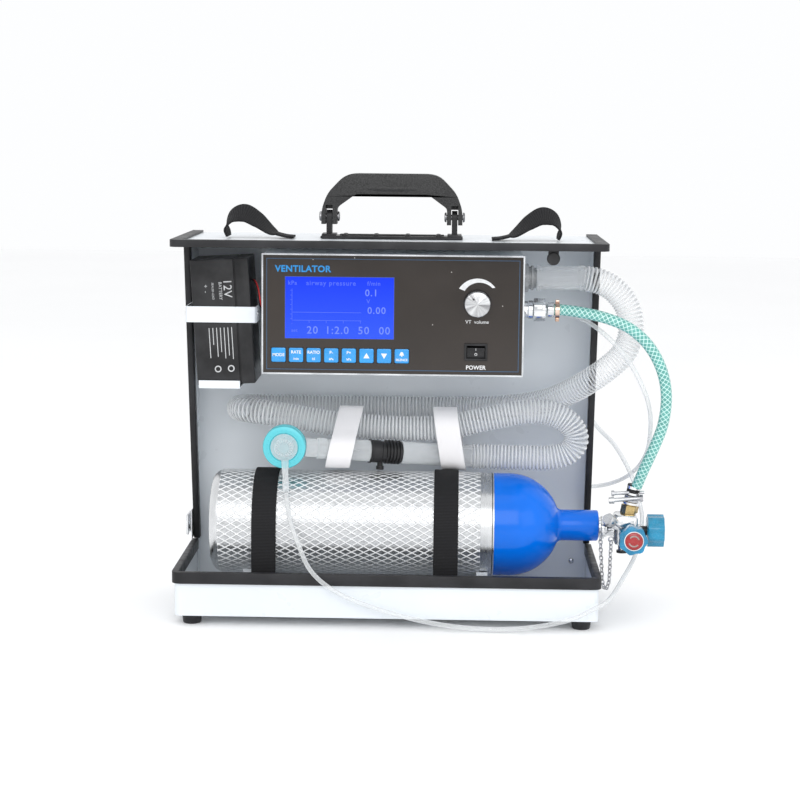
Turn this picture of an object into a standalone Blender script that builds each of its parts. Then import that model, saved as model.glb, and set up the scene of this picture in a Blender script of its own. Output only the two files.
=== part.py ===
"""Portable emergency ventilator: an open-fronted steel case that carries a ventilator unit,
its battery, an oxygen cylinder with its valve, and the patient's breathing circuit.

Sizes are metres. Every piece hangs on the empty "case_datum", whose own axes run from the
case's centre line (x), its front edge (y) and the ground (z).
"""

import math

import bmesh
import bpy
from mathutils import Matrix, Vector

# ---------------------------------------------------------------- driving dimensions
GAP = 0.0003
DATUM = (-0.032775, -0.0970, 0.0)
SHEET = 0.0015

CASE_W = 0.452
CASE_D = 0.194
FOOT_H = 0.0105
FOOT_X = 0.206
FOOT_Y = (0.018, 0.176)
TRIM_T = 0.007
TRIM_LEG = 0.012
TRIM_WEB = 0.0025
WALL_X = CASE_W / 2 - TRIM_T / 2
WALL_Y = TRIM_T / 2
CORNER_R = 0.00575
TRAY_TOP = 0.0574
SHELL_X = 0.22145
SHELL_Y = 0.1922
SHELL_TOP = 0.3982
EDGE_TOP = (0.099, 0.3980)
EDGE_BOTTOM = (0.172, 0.0578)
TRIM_BACK = 0.1744
LID_TOP = 0.4035
TRIM_TOP_Z = 0.4060
TRIM_TOP_H = 0.0075

PANEL_X = (-0.1340, 0.1406)
PANEL_Z = (0.2637, 0.3898)
PANEL_Y = 0.0450
PANEL_T = 0.002
HOUSING_BACK = 0.1904
HOUSING_WALL = 0.0012
LCD_X = (-0.1097, 0.0043)
LCD_Z = (0.3015, 0.3660)
KEY_SIZE = 0.015
KEY_PITCH = 0.01857
KEY_FIRST_X = -0.1168
KEY_Z = 0.2835
KEY_TRAVEL = 0.0006
KEY_NAMES = ("mode", "rate", "ratio", "pressure_low", "pressure_high", "up", "down", "silence")
KNOB_AT = (0.0920, 0.3403)
KNOB_R = 0.0135
ROCKER_AT = (0.0911, 0.2890)
ROCKER_SIZE = (0.0242, 0.0180)
ROCKER_PIVOT_Y = 0.0480
ROCKER_TILT = math.radians(8)

INLET_AT = (0.0600, 0.3330)
PORT_AT = (0.0750, 0.3655)
CONTROL_AT = (0.0900, 0.3285)

BATTERY_SIZE = (0.062, 0.067, 0.134)
BATTERY_AT = (-0.1774, 0.0935, 0.3160)
BATTERY_LEAN = math.radians(-3.4)

CYL_Y = 0.080
CYL_Z = 0.098
CYL_R = 0.0553
SLEEVE_R = 0.0560
CYL_LEFT = -0.1905
DOME_X = 0.130
NECK_R = 0.0167
NECK_END = 0.2262
STRAP_W = 0.026
STRAP_T = 0.0018
STRAP_XS = (-0.1307, 0.0620)

WHEEL_AT = (0.2610, 0.0900)
WHEEL_R = 0.0148
SIDE_WHEEL_Z = 0.0930
FITTING_FOOT = (0.2590, 0.0800, 0.1124)
FITTING_LEAN = math.radians(10)
CLAMP_AT = 0.0160

HANDLE_Y = 0.105
PIVOT_Z = 0.427
PIVOT_X = 0.0671
LUG_T = 0.006
GRIP_DEPTH = 0.022

HOSE_D = 0.028
OXYGEN_D = 0.012
TUBE_D = 0.0048

# Routes of the flexible pieces, as points that a smooth curve runs through.
BREATHING_ROUTE = (
    (0.1545, 0.0750, 0.3655), (0.1800, 0.0750, 0.3655), (0.2080, 0.0750, 0.3655),
    (0.2330, 0.0770, 0.3570), (0.2510, 0.0790, 0.3370), (0.2565, 0.0800, 0.3120),
    (0.2510, 0.0830, 0.2880), (0.2360, 0.0900, 0.2700), (0.2170, 0.1010, 0.2540),
    (0.1950, 0.1180, 0.2380), (0.1680, 0.1380, 0.2240), (0.1320, 0.1570, 0.2150),
    (0.0900, 0.1695, 0.2110), (0.0400, 0.1745, 0.2100), (-0.0300, 0.1750, 0.2100),
    (-0.1000, 0.1750, 0.2095), (-0.1400, 0.1745, 0.2095), (-0.1600, 0.1660, 0.2105),
    (-0.1690, 0.1460, 0.2120), (-0.1600, 0.1250, 0.2130), (-0.1400, 0.1160, 0.2120),
    (-0.1100, 0.1140, 0.2080), (-0.0600, 0.1130, 0.2005), (-0.0100, 0.1120, 0.1970),
    (0.0300, 0.1120, 0.1965), (0.0650, 0.1120, 0.1990), (0.1050, 0.1130, 0.2080),
    (0.1450, 0.1140, 0.2160), (0.1740, 0.1150, 0.2150), (0.1950, 0.1150, 0.2040),
    (0.2030, 0.1150, 0.1880), (0.1960, 0.1150, 0.1730), (0.1760, 0.1150, 0.1660),
    (0.1400, 0.1155, 0.1655), (0.1080, 0.1160, 0.1660), (0.0851, 0.1143, 0.1664),
    (0.0663, 0.1086, 0.1680),
)
OXYGEN_ROUTE = (
    (0.1661, 0.0600, 0.3330), (0.1820, 0.0600, 0.3330), (0.2050, 0.0550, 0.3305),
    (0.2300, 0.0510, 0.3250), (0.2530, 0.0500, 0.3150), (0.2730, 0.0500, 0.2970),
    (0.2870, 0.0510, 0.2720), (0.2930, 0.0530, 0.2440), (0.2910, 0.0570, 0.2140),
    (0.2830, 0.0620, 0.1880), (0.2740, 0.0690, 0.1640), (0.2665, 0.0760, 0.1420),
)
TUBE_ROUTE = (
    (0.1505, 0.0900, 0.3285), (0.1700, 0.0900, 0.3285), (0.1900, 0.0880, 0.3265),
    (0.2090, 0.0780, 0.3195), (0.2290, 0.0600, 0.3060), (0.2490, 0.0545, 0.2850),
    (0.2650, 0.0570, 0.2590), (0.2760, 0.0650, 0.2320), (0.2800, 0.0800, 0.2040),
    (0.2780, 0.1040, 0.1720), (0.2650, 0.1400, 0.1440), (0.2400, 0.1820, 0.1240),
    (0.2060, 0.2060, 0.1180), (0.1700, 0.2120, 0.1270), (0.1450, 0.2110, 0.1530),
    (0.1400, 0.2090, 0.1880), (0.1560, 0.2070, 0.2180), (0.1860, 0.2050, 0.2280),
    (0.2120, 0.2020, 0.2130), (0.2320, 0.1920, 0.1880), (0.2490, 0.1580, 0.1730),
    (0.2640, 0.1260, 0.1480), (0.2730, 0.1100, 0.1200), (0.2760, 0.1040, 0.0980),
    (0.2690, 0.0900, 0.0660), (0.2510, 0.0500, 0.0450), (0.2340, 0.0060, 0.0340),
    (0.2180, -0.0070, 0.0270), (0.1880, -0.0090, 0.0140), (0.1400, -0.0080, 0.0050),
    (0.0900, -0.0080, 0.0045), (0.0400, -0.0080, 0.0110), (-0.0100, -0.0080, 0.0240),
    (-0.0500, -0.0080, 0.0400), (-0.0780, -0.0050, 0.0620), (-0.0930, 0.0060, 0.0900),
    (-0.1030, 0.0200, 0.1140), (-0.1075, 0.0330, 0.1370),
)
CHAIN_ROUTE = (
    (0.2275, 0.0560, 0.1000), (0.2275, 0.0560, 0.0880), (0.2285, 0.0560, 0.0700),
    (0.2300, 0.0560, 0.0480), (0.2310, 0.0560, 0.0390), (0.2340, 0.0560, 0.0330),
    (0.2370, 0.0560, 0.0390), (0.2380, 0.0560, 0.0480), (0.2385, 0.0560, 0.0700),
    (0.2390, 0.0560, 0.0860),
)
LEAD_ROUTE = (
    (-0.1475, 0.0780, 0.3600), (-0.1440, 0.0720, 0.3580), (-0.1405, 0.0660, 0.3500),
    (-0.1388, 0.0640, 0.3400), (-0.1372, 0.0670, 0.3320), (-0.1350, 0.0720, 0.3300),
)

# The line of the patient end: from the breathing hose's last point to the exhalation valve.
PATIENT_START = Vector((0.0660, 0.1085, 0.1680))
VALVE_AT = Vector((-0.1110, 0.0550, 0.1840))
EXHALE_R = 0.0230


# ---------------------------------------------------------------- modelling helpers
def clear_scene():
    for obj in list(bpy.data.objects):
        bpy.data.objects.remove(obj, do_unlink=True)


def collection(name):
    group = bpy.data.collections.new(name)
    bpy.context.scene.collection.children.link(group)
    return group


def material(name, colour, roughness, metallic=0.0):
    mat = bpy.data.materials.new(name)
    mat.use_nodes = True
    shader = mat.node_tree.nodes["Principled BSDF"]
    shader.inputs["Base Color"].default_value = (*colour, 1.0)
    shader.inputs["Roughness"].default_value = roughness
    shader.inputs["Metallic"].default_value = metallic
    mat.diffuse_color = (*colour, 1.0)
    return mat


def place(name, data, at=(0, 0, 0), turn=(0, 0, 0), mat=None, cutter=False):
    """A new object on the datum; a cutter goes to the cutters' collection and stays unseen."""
    obj = bpy.data.objects.new(name, data)
    (CUTTERS if cutter else PARTS).objects.link(obj)
    obj.parent = CASE
    obj.location = at
    obj.rotation_euler = turn
    if cutter:
        obj.hide_render = True
        obj.display_type = "WIRE"
    if mat is not None:
        data.materials.append(mat)
    return obj


def mesh_of(bm, name, smooth=False):
    bmesh.ops.recalc_face_normals(bm, faces=bm.faces)
    mesh = bpy.data.meshes.new(name)
    bm.to_mesh(mesh)
    bm.free()
    if smooth:
        mesh.shade_smooth()
        mesh.set_sharp_from_angle(angle=math.radians(35))
    return mesh


def cube(name, low, high, mat=None, bevel=0.0, segments=2, cutter=False):
    """A box between two corners, placed by its centre, with its edges rounded in the mesh."""
    size = [b - a for a, b in zip(low, high)]
    bm = bmesh.new()
    bmesh.ops.create_cube(bm, size=1.0)
    bmesh.ops.scale(bm, vec=size, verts=bm.verts)
    if bevel:
        bmesh.ops.bevel(bm, geom=bm.edges[:], offset=bevel, segments=segments, profile=0.5,
                        affect="EDGES", material=-1)
    centre = [(a + b) / 2 for a, b in zip(low, high)]
    return place(name, mesh_of(bm, name), centre, mat=mat, cutter=cutter)


def turn_to(direction):
    """The rotation that takes +Z to a direction."""
    return Vector(direction).to_track_quat("Z", "Y").to_euler()


def rod(name, start, end, radius, mat=None, sides=24, end_radius=None, cutter=False):
    """A cylinder or a cone between two points."""
    a, b = Vector(start), Vector(end)
    bm = bmesh.new()
    bmesh.ops.create_cone(bm, cap_ends=True, segments=sides, radius1=radius,
                          radius2=radius if end_radius is None else end_radius,
                          depth=(b - a).length)
    return place(name, mesh_of(bm, name, smooth=sides > 8), (a + b) / 2, turn_to(b - a), mat,
                 cutter)


def turned(name, profile, at, direction, mat, steps=32, cutter=False):
    """A profile of (radius, height), from top to bottom, turned about a direction."""
    mesh = bpy.data.meshes.new(name)
    rim = [(r, 0.0, h) for r, h in profile]
    mesh.from_pydata(rim, [(i, i + 1) for i in range(len(rim) - 1)], [])
    obj = place(name, mesh, at, turn_to(direction), mat, cutter)
    screw = obj.modifiers.new("turn", "SCREW")
    screw.steps = steps
    screw.render_steps = steps
    screw.use_merge_vertices = True
    screw.merge_threshold = 0.0001
    screw.use_smooth_shade = True
    return obj


def solid(obj):
    """The same object with its curve or modifiers made into one welded mesh."""
    deps = bpy.context.evaluated_depsgraph_get()
    mesh = bpy.data.meshes.new_from_object(obj.evaluated_get(deps))
    bm = bmesh.new()
    bm.from_mesh(mesh)
    bmesh.ops.remove_doubles(bm, verts=bm.verts, dist=0.00001)
    bmesh.ops.recalc_face_normals(bm, faces=bm.faces)
    bm.to_mesh(mesh)
    bm.free()
    name, curve = obj.name, obj.data
    again = place(name + "_solid", mesh, obj.location, obj.rotation_euler,
                  cutter=obj.name in CUTTERS.objects)
    bpy.data.objects.remove(obj)
    if isinstance(curve, bpy.types.Curve):
        bpy.data.curves.remove(curve)
    again.name = name
    mesh.name = name
    return again


def outline(name, loops, depth, at, turn=(0, 0, 0), mat=None, cutter=False):
    """A flat outline of closed loops, filled and given a thickness, then made a mesh."""
    curve = bpy.data.curves.new(name, "CURVE")
    curve.dimensions = "2D"
    curve.fill_mode = "BOTH"
    curve.extrude = depth / 2
    for loop in loops:
        spline = curve.splines.new("POLY")
        spline.points.add(len(loop) - 1)
        for point, (x, y) in zip(spline.points, loop):
            point.co = (x, y, 0.0, 1.0)
        spline.use_cyclic_u = True
    obj = place(name, curve, at, turn, mat, cutter)
    bpy.context.view_layer.update()
    return solid(obj)


def round_edges(obj, width, segments=2):
    bevel = obj.modifiers.new("round", "BEVEL")
    bevel.width = width
    bevel.segments = segments
    bevel.limit_method = "ANGLE"
    bevel.angle_limit = math.radians(40)
    return obj


def change(obj, other, how, solver="EXACT"):
    step = obj.modifiers.new(how.lower(), "BOOLEAN")
    step.operation = how
    step.object = other
    step.solver = solver


def cut(obj, *others, solver="EXACT"):
    for other in others:
        change(obj, other, "DIFFERENCE", solver)
    return obj


def join(obj, *others, solver="EXACT"):
    for other in others:
        change(obj, other, "UNION", solver)
    return obj


def arc(x, y, radius, start, end, steps):
    """Points on an arc, angles in degrees."""
    turns = [math.radians(start + (end - start) * i / steps) for i in range(steps + 1)]
    return [(x + radius * math.cos(a), y + radius * math.sin(a)) for a in turns]


def smooth_route(points, spacing):
    """Evenly spaced points on the smooth curve through a route's own points."""
    knots = [Vector(p) for p in points]
    knots = [2 * knots[0] - knots[1], *knots, 2 * knots[-1] - knots[-2]]
    fine = []
    for a, b, c, d in zip(knots, knots[1:], knots[2:], knots[3:]):
        for i in range(16):
            t = i / 16
            fine.append(0.5 * (2 * b + (c - a) * t + (2 * a - 5 * b + 4 * c - d) * t * t
                               + (3 * b - a - 3 * c + d) * t ** 3))
    fine.append(knots[-2])
    along = [0.0]
    for a, b in zip(fine, fine[1:]):
        along.append(along[-1] + (b - a).length)
    count = max(2, round(along[-1] / spacing))
    even, at = [], 0
    for i in range(count + 1):
        goal = along[-1] * i / count
        while at < len(fine) - 2 and along[at + 1] < goal:
            at += 1
        share = (goal - along[at]) / (along[at + 1] - along[at])
        even.append(fine[at].lerp(fine[at + 1], min(1.0, share)))
    return even


def tube(name, route, diameter, spacing, mat, resolution=2):
    """A closed round tube along a smooth route."""
    curve = bpy.data.curves.new(name, "CURVE")
    curve.dimensions = "3D"
    curve.bevel_depth = diameter / 2
    curve.bevel_resolution = resolution
    curve.use_fill_caps = True
    line = smooth_route(route, spacing)
    spline = curve.splines.new("POLY")
    spline.points.add(len(line) - 1)
    for point, co in zip(spline.points, line):
        point.co = (*co, 1.0)
    return place(name, curve, mat=mat)


def ribbon(path, thickness):
    """The outline of a strap of even thickness along a flat path of (x, y) points."""
    left, right = [], []
    for i, here in enumerate(path):
        before = Vector(path[max(i - 1, 0)])
        after = Vector(path[min(i + 1, len(path) - 1)])
        run = (after - before).normalized()
        side = Vector((-run.y, run.x)) * thickness / 2
        left.append(tuple(Vector(here) + side))
        right.append(tuple(Vector(here) - side))
    return left + right[::-1]


def flat_route(points, spacing):
    return [(p.x, p.y) for p in smooth_route([(x, y, 0.0) for x, y in points], spacing)]


# ---------------------------------------------------------------- case
def band_loop(half, back):
    """A U in plan round the case's front and sides, its walls half to each side of the sheet."""
    x, y, r = WALL_X, WALL_Y, CORNER_R
    outer = ([(-x - half, back)] + arc(-x + r, y + r, r + half, 180, 270, 6)
             + arc(x - r, y + r, r + half, 270, 360, 6) + [(x + half, back)])
    inner = ([(x - half, back)] + arc(x - r, y + r, r - half, 360, 270, 4)
             + arc(-x + r, y + r, r - half, 270, 180, 4) + [(-x + half, back)])
    return outer + inner


def base_tray(mat):
    """The lower box of folded sheet: a floor and four walls."""
    low = (-WALL_X - SHEET / 2, WALL_Y - SHEET / 2, FOOT_H)
    high = (WALL_X + SHEET / 2, CASE_D, TRAY_TOP - TRIM_WEB - GAP)
    bm = bmesh.new()
    bmesh.ops.create_cube(bm, size=1.0)
    bmesh.ops.scale(bm, vec=[b - a for a, b in zip(low, high)], verts=bm.verts)
    bmesh.ops.translate(bm, vec=[(a + b) / 2 for a, b in zip(low, high)], verts=bm.verts)
    bm.faces.ensure_lookup_table()
    lid = max(bm.faces, key=lambda f: f.calc_center_median().z)
    bmesh.ops.delete(bm, geom=[lid], context="FACES_ONLY")
    upright = [e for e in bm.edges if abs(e.verts[0].co.z - e.verts[1].co.z) > 0.01
               and max(v.co.y for v in e.verts) < CASE_D / 2]
    bmesh.ops.bevel(bm, geom=upright, offset=CORNER_R + SHEET / 2, segments=6, profile=0.5,
                    affect="EDGES", material=-1)
    obj = place("base_tray", mesh_of(bm, "base_tray"), mat=mat)
    wall = obj.modifiers.new("wall", "SOLIDIFY")
    wall.thickness = SHEET
    wall.offset = -1
    wall.use_even_offset = True


def back_shell(mat):
    """Back panel and side walls, the side walls' front edges cut on a slant."""
    floor = FOOT_H + SHEET + GAP
    bm = bmesh.new()
    bmesh.ops.create_cube(bm, size=1.0)
    bmesh.ops.scale(bm, vec=(2 * SHELL_X, SHELL_Y, SHELL_TOP - floor), verts=bm.verts)
    bmesh.ops.translate(bm, vec=(0, SHELL_Y / 2, (SHELL_TOP + floor) / 2), verts=bm.verts)
    spare = [f for f in bm.faces if abs(f.normal.z) > 0.5 or f.normal.y < -0.5]
    bmesh.ops.delete(bm, geom=spare, context="FACES_ONLY")
    slope = Vector((0, EDGE_TOP[0] - EDGE_BOTTOM[0], EDGE_TOP[1] - EDGE_BOTTOM[1])).normalized()
    inward = Vector((0, slope.z, -slope.y))
    edge = Vector((0, *EDGE_TOP)) + inward * (TRIM_WEB + GAP)
    bmesh.ops.bisect_plane(bm, geom=bm.verts[:] + bm.edges[:] + bm.faces[:], plane_co=edge,
                           plane_no=-inward, clear_outer=True)
    obj = place("back_shell", mesh_of(bm, "back_shell"), mat=mat)
    wall = obj.modifiers.new("wall", "SOLIDIFY")
    wall.thickness = SHEET
    wall.offset = -1
    wall.use_even_offset = True


def top_plate(mat):
    """The lid sheet with its rear edge folded down behind the back panel."""
    low = (-WALL_X, WALL_Y - 0.0005, LID_TOP - 0.026)
    high = (WALL_X, CASE_D, LID_TOP)
    bm = bmesh.new()
    bmesh.ops.create_cube(bm, size=1.0)
    bmesh.ops.scale(bm, vec=[b - a for a, b in zip(low, high)], verts=bm.verts)
    bmesh.ops.translate(bm, vec=[(a + b) / 2 for a, b in zip(low, high)], verts=bm.verts)
    spare = [f for f in bm.faces if f.normal.z < 0.5 and f.normal.y < 0.5]
    bmesh.ops.delete(bm, geom=spare, context="FACES_ONLY")
    obj = place("top_plate", mesh_of(bm, "top_plate"), mat=mat)
    wall = obj.modifiers.new("wall", "SOLIDIFY")
    wall.thickness = SHEET
    wall.offset = -1
    wall.use_even_offset = True


def trims(mat):
    """Rubber edge trim of U section: lid, tray and both slanted wall edges."""
    back = CASE_D - SHEET - 4 * GAP
    half = TRIM_LEG / 2
    x, y = CASE_W / 2 - half, half
    outer = ([(-x - half, back)] + arc(-x + 0.003, y + 0.003, half + 0.003, 180, 270, 6)
             + arc(x - 0.003, y + 0.003, half + 0.003, 270, 360, 6) + [(x + half, back)])
    inner = [(x - half, back), (x - half, y + half), (-x + half, y + half), (-x + half, back)]
    lid = outline("trim_top", [outer + inner], TRIM_TOP_H,
                  (0, 0, TRIM_TOP_Z - TRIM_TOP_H / 2), mat=mat)
    round_edges(lid, 0.0012)
    cut(lid, cube("lid_slot", (-WALL_X - GAP, WALL_Y - 0.0005 - GAP, LID_TOP - SHEET - GAP),
                  (WALL_X + GAP, CASE_D + 0.01, LID_TOP + GAP), cutter=True))

    tray = outline("trim_tray", [band_loop(TRIM_T / 2, TRIM_BACK)], TRIM_LEG,
                   (0, 0, TRAY_TOP - TRIM_LEG / 2), mat=mat)
    round_edges(tray, 0.0012)
    cut(tray, outline("tray_slot", [band_loop(SHEET / 2 + GAP, 0.190)], TRIM_LEG,
                      (0, 0, TRAY_TOP - TRIM_WEB - TRIM_LEG / 2), cutter=True),
        solver="MANIFOLD")

    top, bottom = Vector((0, *EDGE_TOP)), Vector((0, *EDGE_BOTTOM))
    slope = (top - bottom).normalized()
    inward = Vector((0, slope.z, -slope.y))
    lean = math.atan2(-slope.y, slope.z)
    for side, name in ((-1, "trim_left"), (1, "trim_right")):
        centre = (top + bottom) / 2 + inward * TRIM_LEG / 2
        centre.x = side * (SHELL_X - SHEET / 2)
        bm = bmesh.new()
        bmesh.ops.create_cube(bm, size=1.0)
        bmesh.ops.scale(bm, vec=(TRIM_T, TRIM_LEG, 0.40), verts=bm.verts)
        bmesh.ops.rotate(bm, matrix=Matrix.Rotation(lean, 3, "X"), verts=bm.verts)
        bmesh.ops.translate(bm, vec=centre, verts=bm.verts)
        for height, way in ((EDGE_TOP[1], 1), (EDGE_BOTTOM[1], -1)):
            found = bmesh.ops.bisect_plane(bm, geom=bm.verts[:] + bm.edges[:] + bm.faces[:],
                                           plane_co=(0, 0, height), plane_no=(0, 0, way),
                                           clear_outer=True)
            rim = [g for g in found["geom_cut"] if isinstance(g, bmesh.types.BMEdge)]
            bmesh.ops.edgeloop_fill(bm, edges=rim)
        bar = place(name, mesh_of(bm, name), mat=mat)
        round_edges(bar, 0.0010)
        slot = cube(name + "_slot", (-SHEET / 2 - GAP, TRIM_WEB - TRIM_LEG / 2, -0.25),
                    (SHEET / 2 + GAP, 0.02, 0.25), cutter=True)
        slot.location = centre + inward * slot.location.y
        slot.rotation_euler = (lean, 0, 0)
        cut(bar, slot)


def feet(mat):
    spots = [(x, y) for y in FOOT_Y for x in (-FOOT_X, FOOT_X)]
    for i, (x, y) in enumerate(spots, 1):
        top = FOOT_H - GAP
        profile = [(0, top), (0.011, top), (0.011, top - 0.003), (0.0095, 0.001),
                   (0.0088, 0), (0, 0)]
        turned(f"foot_{i}", profile, (x, y, 0), (0, 0, 1), mat, steps=24)


def latch(steel):
    """Draw latch of the front cover, on the left side wall."""
    cube("latch_base", (-0.2262, 0.1625, 0.0590), (-0.2246, 0.1915, 0.0920), steel, 0.0005, 1)
    knuckle = rod("latch_knuckle", (-0.2290, 0.1830, 0.0640), (-0.2290, 0.1830, 0.0870), 0.0022,
                  cutter=True, sides=16)
    lever = cube("latch_lever", (-0.2312, 0.1600, 0.0640), (-0.2284, 0.1830, 0.0870), steel,
                 0.0008, 1)
    join(lever, knuckle)


# ---------------------------------------------------------------- handle and straps
def handle(plastic, steel):
    """Folding carrying handle: foot plate with two lugs, moulded grip, two pins."""
    y, z = HANDLE_Y, PIVOT_Z
    foot = LID_TOP + GAP
    base = cube("handle_base", (-0.0760, y - 0.017, foot), (0.0760, y + 0.017, foot + 0.003),
                plastic, 0.0008, 1)
    for side in (-1, 1):
        x = side * PIVOT_X
        tag = "left" if side < 0 else "right"
        pad = cube(f"pad_{tag}", (x - 0.0075, y - 0.0145, foot + 0.002),
                   (x + 0.0075, y + 0.0145, foot + 0.0050), cutter=True)
        lug = cube(f"lug_{tag}", (x - LUG_T / 2, y - 0.007, foot + 0.002),
                   (x + LUG_T / 2, y + 0.007, z), cutter=True)
        ear = rod(f"ear_{tag}", (x - LUG_T / 2, y, z), (x + LUG_T / 2, y, z), 0.007, sides=24,
                  cutter=True)
        hole = rod(f"lug_hole_{tag}", (x - 0.02, y, z), (x + 0.02, y, z), 0.0030 + GAP, sides=24,
                   cutter=True)
        join(base, pad, lug, ear)
        cut(base, hole)

    half = [(0.0588, 0.419), (0.0588, 0.437), (0.0400, 0.4495), (0.0270, 0.4515)]
    inner = half + [(-a, b) for a, b in reversed(half)]
    rise = [(-0.0754, 0.419), (-0.0754, 0.434), (-0.0690, 0.4520), (-0.0525, 0.4690),
            (-0.0425, 0.4730)]
    outer = rise + [(-a, b) for a, b in reversed(rise)]
    loop = [(a, b - z) for a, b in outer + inner]
    grip = outline("handle_grip", [loop], GRIP_DEPTH, (0, y, z), (math.pi / 2, 0, 0), plastic)
    round_edges(grip, 0.0035, 3)
    for side in (-1, 1):
        x = side * PIVOT_X
        tag = "left" if side < 0 else "right"
        slot = cube(f"grip_slot_{tag}", (x - LUG_T / 2 - GAP, y - 0.02, z - 0.02),
                    (x + LUG_T / 2 + GAP, y + 0.02, z + 0.0125), cutter=True)
        hole = rod(f"grip_hole_{tag}", (x - 0.02, y, z), (x + 0.02, y, z), 0.0030 + GAP, sides=24,
                   cutter=True)
        cut(grip, slot, hole, solver="MANIFOLD")
        reach = 0.0088
        profile = [(0, reach + 0.0022), (0.0046, reach + 0.0022), (0.0052, reach + 0.0015),
                   (0.0052, reach), (0.0030, reach), (0.0030, -reach), (0.0052, -reach),
                   (0.0052, -reach - 0.0015), (0.0046, -reach - 0.0022), (0, -reach - 0.0022)]
        turned(f"handle_pin_{tag}", profile, (x, y, z), (1, 0, 0), steel, steps=24)


def shoulder_straps(mat):
    """Webbing loops on the lid, one end through a slot at the case's side."""
    low = LID_TOP + GAP + 0.0015
    path = [(-0.1745, low), (-0.1770, 0.4200), (-0.1700, 0.4340), (-0.1570, 0.4385),
            (-0.1420, 0.4290), (-0.1270, 0.4140), (-0.1150, low + 0.0012), (-0.1020, low)]
    for side, name in ((1, "shoulder_strap_left"), (-1, "shoulder_strap_right")):
        line = flat_route(path, 0.006)
        if side < 0:
            line = [(0.003 - x, z) for x, z in line[::-1]]
        loop = ribbon(line, 0.0026)
        outline(name, [loop], 0.036, (0, 0.092, 0), (math.pi / 2, 0, 0), mat)


# ---------------------------------------------------------------- ventilator unit
def unit_housing(mat):
    """Sheet box behind the front panel, with its gas openings and the control tube's barb."""
    front = PANEL_Y + PANEL_T + GAP
    low = Vector((PANEL_X[0] + 0.0005, front, PANEL_Z[0] + 0.0005))
    high = Vector((PANEL_X[1] - 0.0005, HOUSING_BACK, PANEL_Z[1] - 0.0005))
    wall = Vector((HOUSING_WALL, HOUSING_WALL, HOUSING_WALL))
    box = cube("unit_housing", low, high, mat)
    inside_low = low + wall
    inside_low.y = front - 0.01
    hollow = cube("housing_hollow", inside_low, high - wall, cutter=True)
    side = PANEL_X[1]
    inlet = rod("inlet_hole", (side - 0.01, *INLET_AT), (side + 0.01, *INLET_AT), 0.0060 + GAP,
                cutter=True)
    port = rod("port_hole", (side - 0.01, *PORT_AT), (side + 0.01, *PORT_AT), 0.0110 + GAP,
               cutter=True, sides=32)
    barb = rod("control_barb", (side - 0.0015, *CONTROL_AT), (side + 0.0096, *CONTROL_AT), 0.0021,
               cutter=True, sides=12)
    cut(box, hollow, inlet, port)
    join(box, barb)


def front_panel(mat):
    """Panel plate with openings for display, keys, knob and switch."""
    front, back = PANEL_Y, PANEL_Y + PANEL_T
    panel = cube("front_panel", (PANEL_X[0], front, PANEL_Z[0]), (PANEL_X[1], back, PANEL_Z[1]),
                 mat)
    window = cube("window", (LCD_X[0] - GAP, front - 0.01, LCD_Z[0] - GAP),
                  (LCD_X[1] + GAP, back + 0.01, LCD_Z[1] + GAP), cutter=True)
    shaft = rod("shaft_hole", (KNOB_AT[0], front - 0.01, KNOB_AT[1]),
                (KNOB_AT[0], back + 0.01, KNOB_AT[1]), 0.0035, cutter=True)
    half_x, half_z = (s / 2 - 0.0015 for s in ROCKER_SIZE)
    switch = cube("switch_hole", (ROCKER_AT[0] - half_x, front - 0.01, ROCKER_AT[1] - half_z),
                  (ROCKER_AT[0] + half_x, back + 0.01, ROCKER_AT[1] + half_z), cutter=True)
    cut(panel, window, shaft, switch)
    half = KEY_SIZE / 2 + GAP
    for i in range(len(KEY_NAMES)):
        x = KEY_FIRST_X + i * KEY_PITCH
        cut(panel, cube(f"key_hole_{i + 1}", (x - half, front - 0.01, KEY_Z - half),
                        (x + half, back + 0.01, KEY_Z + half), cutter=True))


def keys(mat):
    half = KEY_SIZE / 2
    for i, name in enumerate(KEY_NAMES):
        x = KEY_FIRST_X + i * KEY_PITCH
        cube(f"{name}_key", (x - half, PANEL_Y - KEY_TRAVEL, KEY_Z - half),
             (x + half, PANEL_Y + PANEL_T - KEY_TRAVEL, KEY_Z + half), mat, 0.0004, 1)


def display(mat):
    cube("lcd_module", (LCD_X[0], PANEL_Y + 0.0004, LCD_Z[0]), (LCD_X[1], 0.0570, LCD_Z[1]), mat)


def volume_control(metal, grey):
    """Knob with its shaft, and the needle valve that it turns."""
    x, z = KNOB_AT
    rear = PANEL_Y - 0.0006
    front = rear - 0.0150
    deep = 0.0620
    profile = [(0, -front), (KNOB_R - 0.0010, -front), (KNOB_R, -front - 0.0010),
               (KNOB_R, -rear + 0.0030), (KNOB_R + 0.0008, -rear + 0.0022),
               (KNOB_R + 0.0008, -rear), (0.0030, -rear), (0.0030, -deep), (0, -deep)]
    turned("volume_knob", profile, (x, 0, z), (0, -1, 0), metal, steps=40)
    top = PANEL_Y + PANEL_T + GAP
    body = [(0.0035, -top), (0.0110, -top), (0.0110, -0.0720), (0, -0.0720), (0, -0.0630),
            (0.0035, -0.0630), (0.0035, -top)]
    turned("volume_valve", body, (x, 0, z), (0, -1, 0), grey, steps=24)


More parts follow.
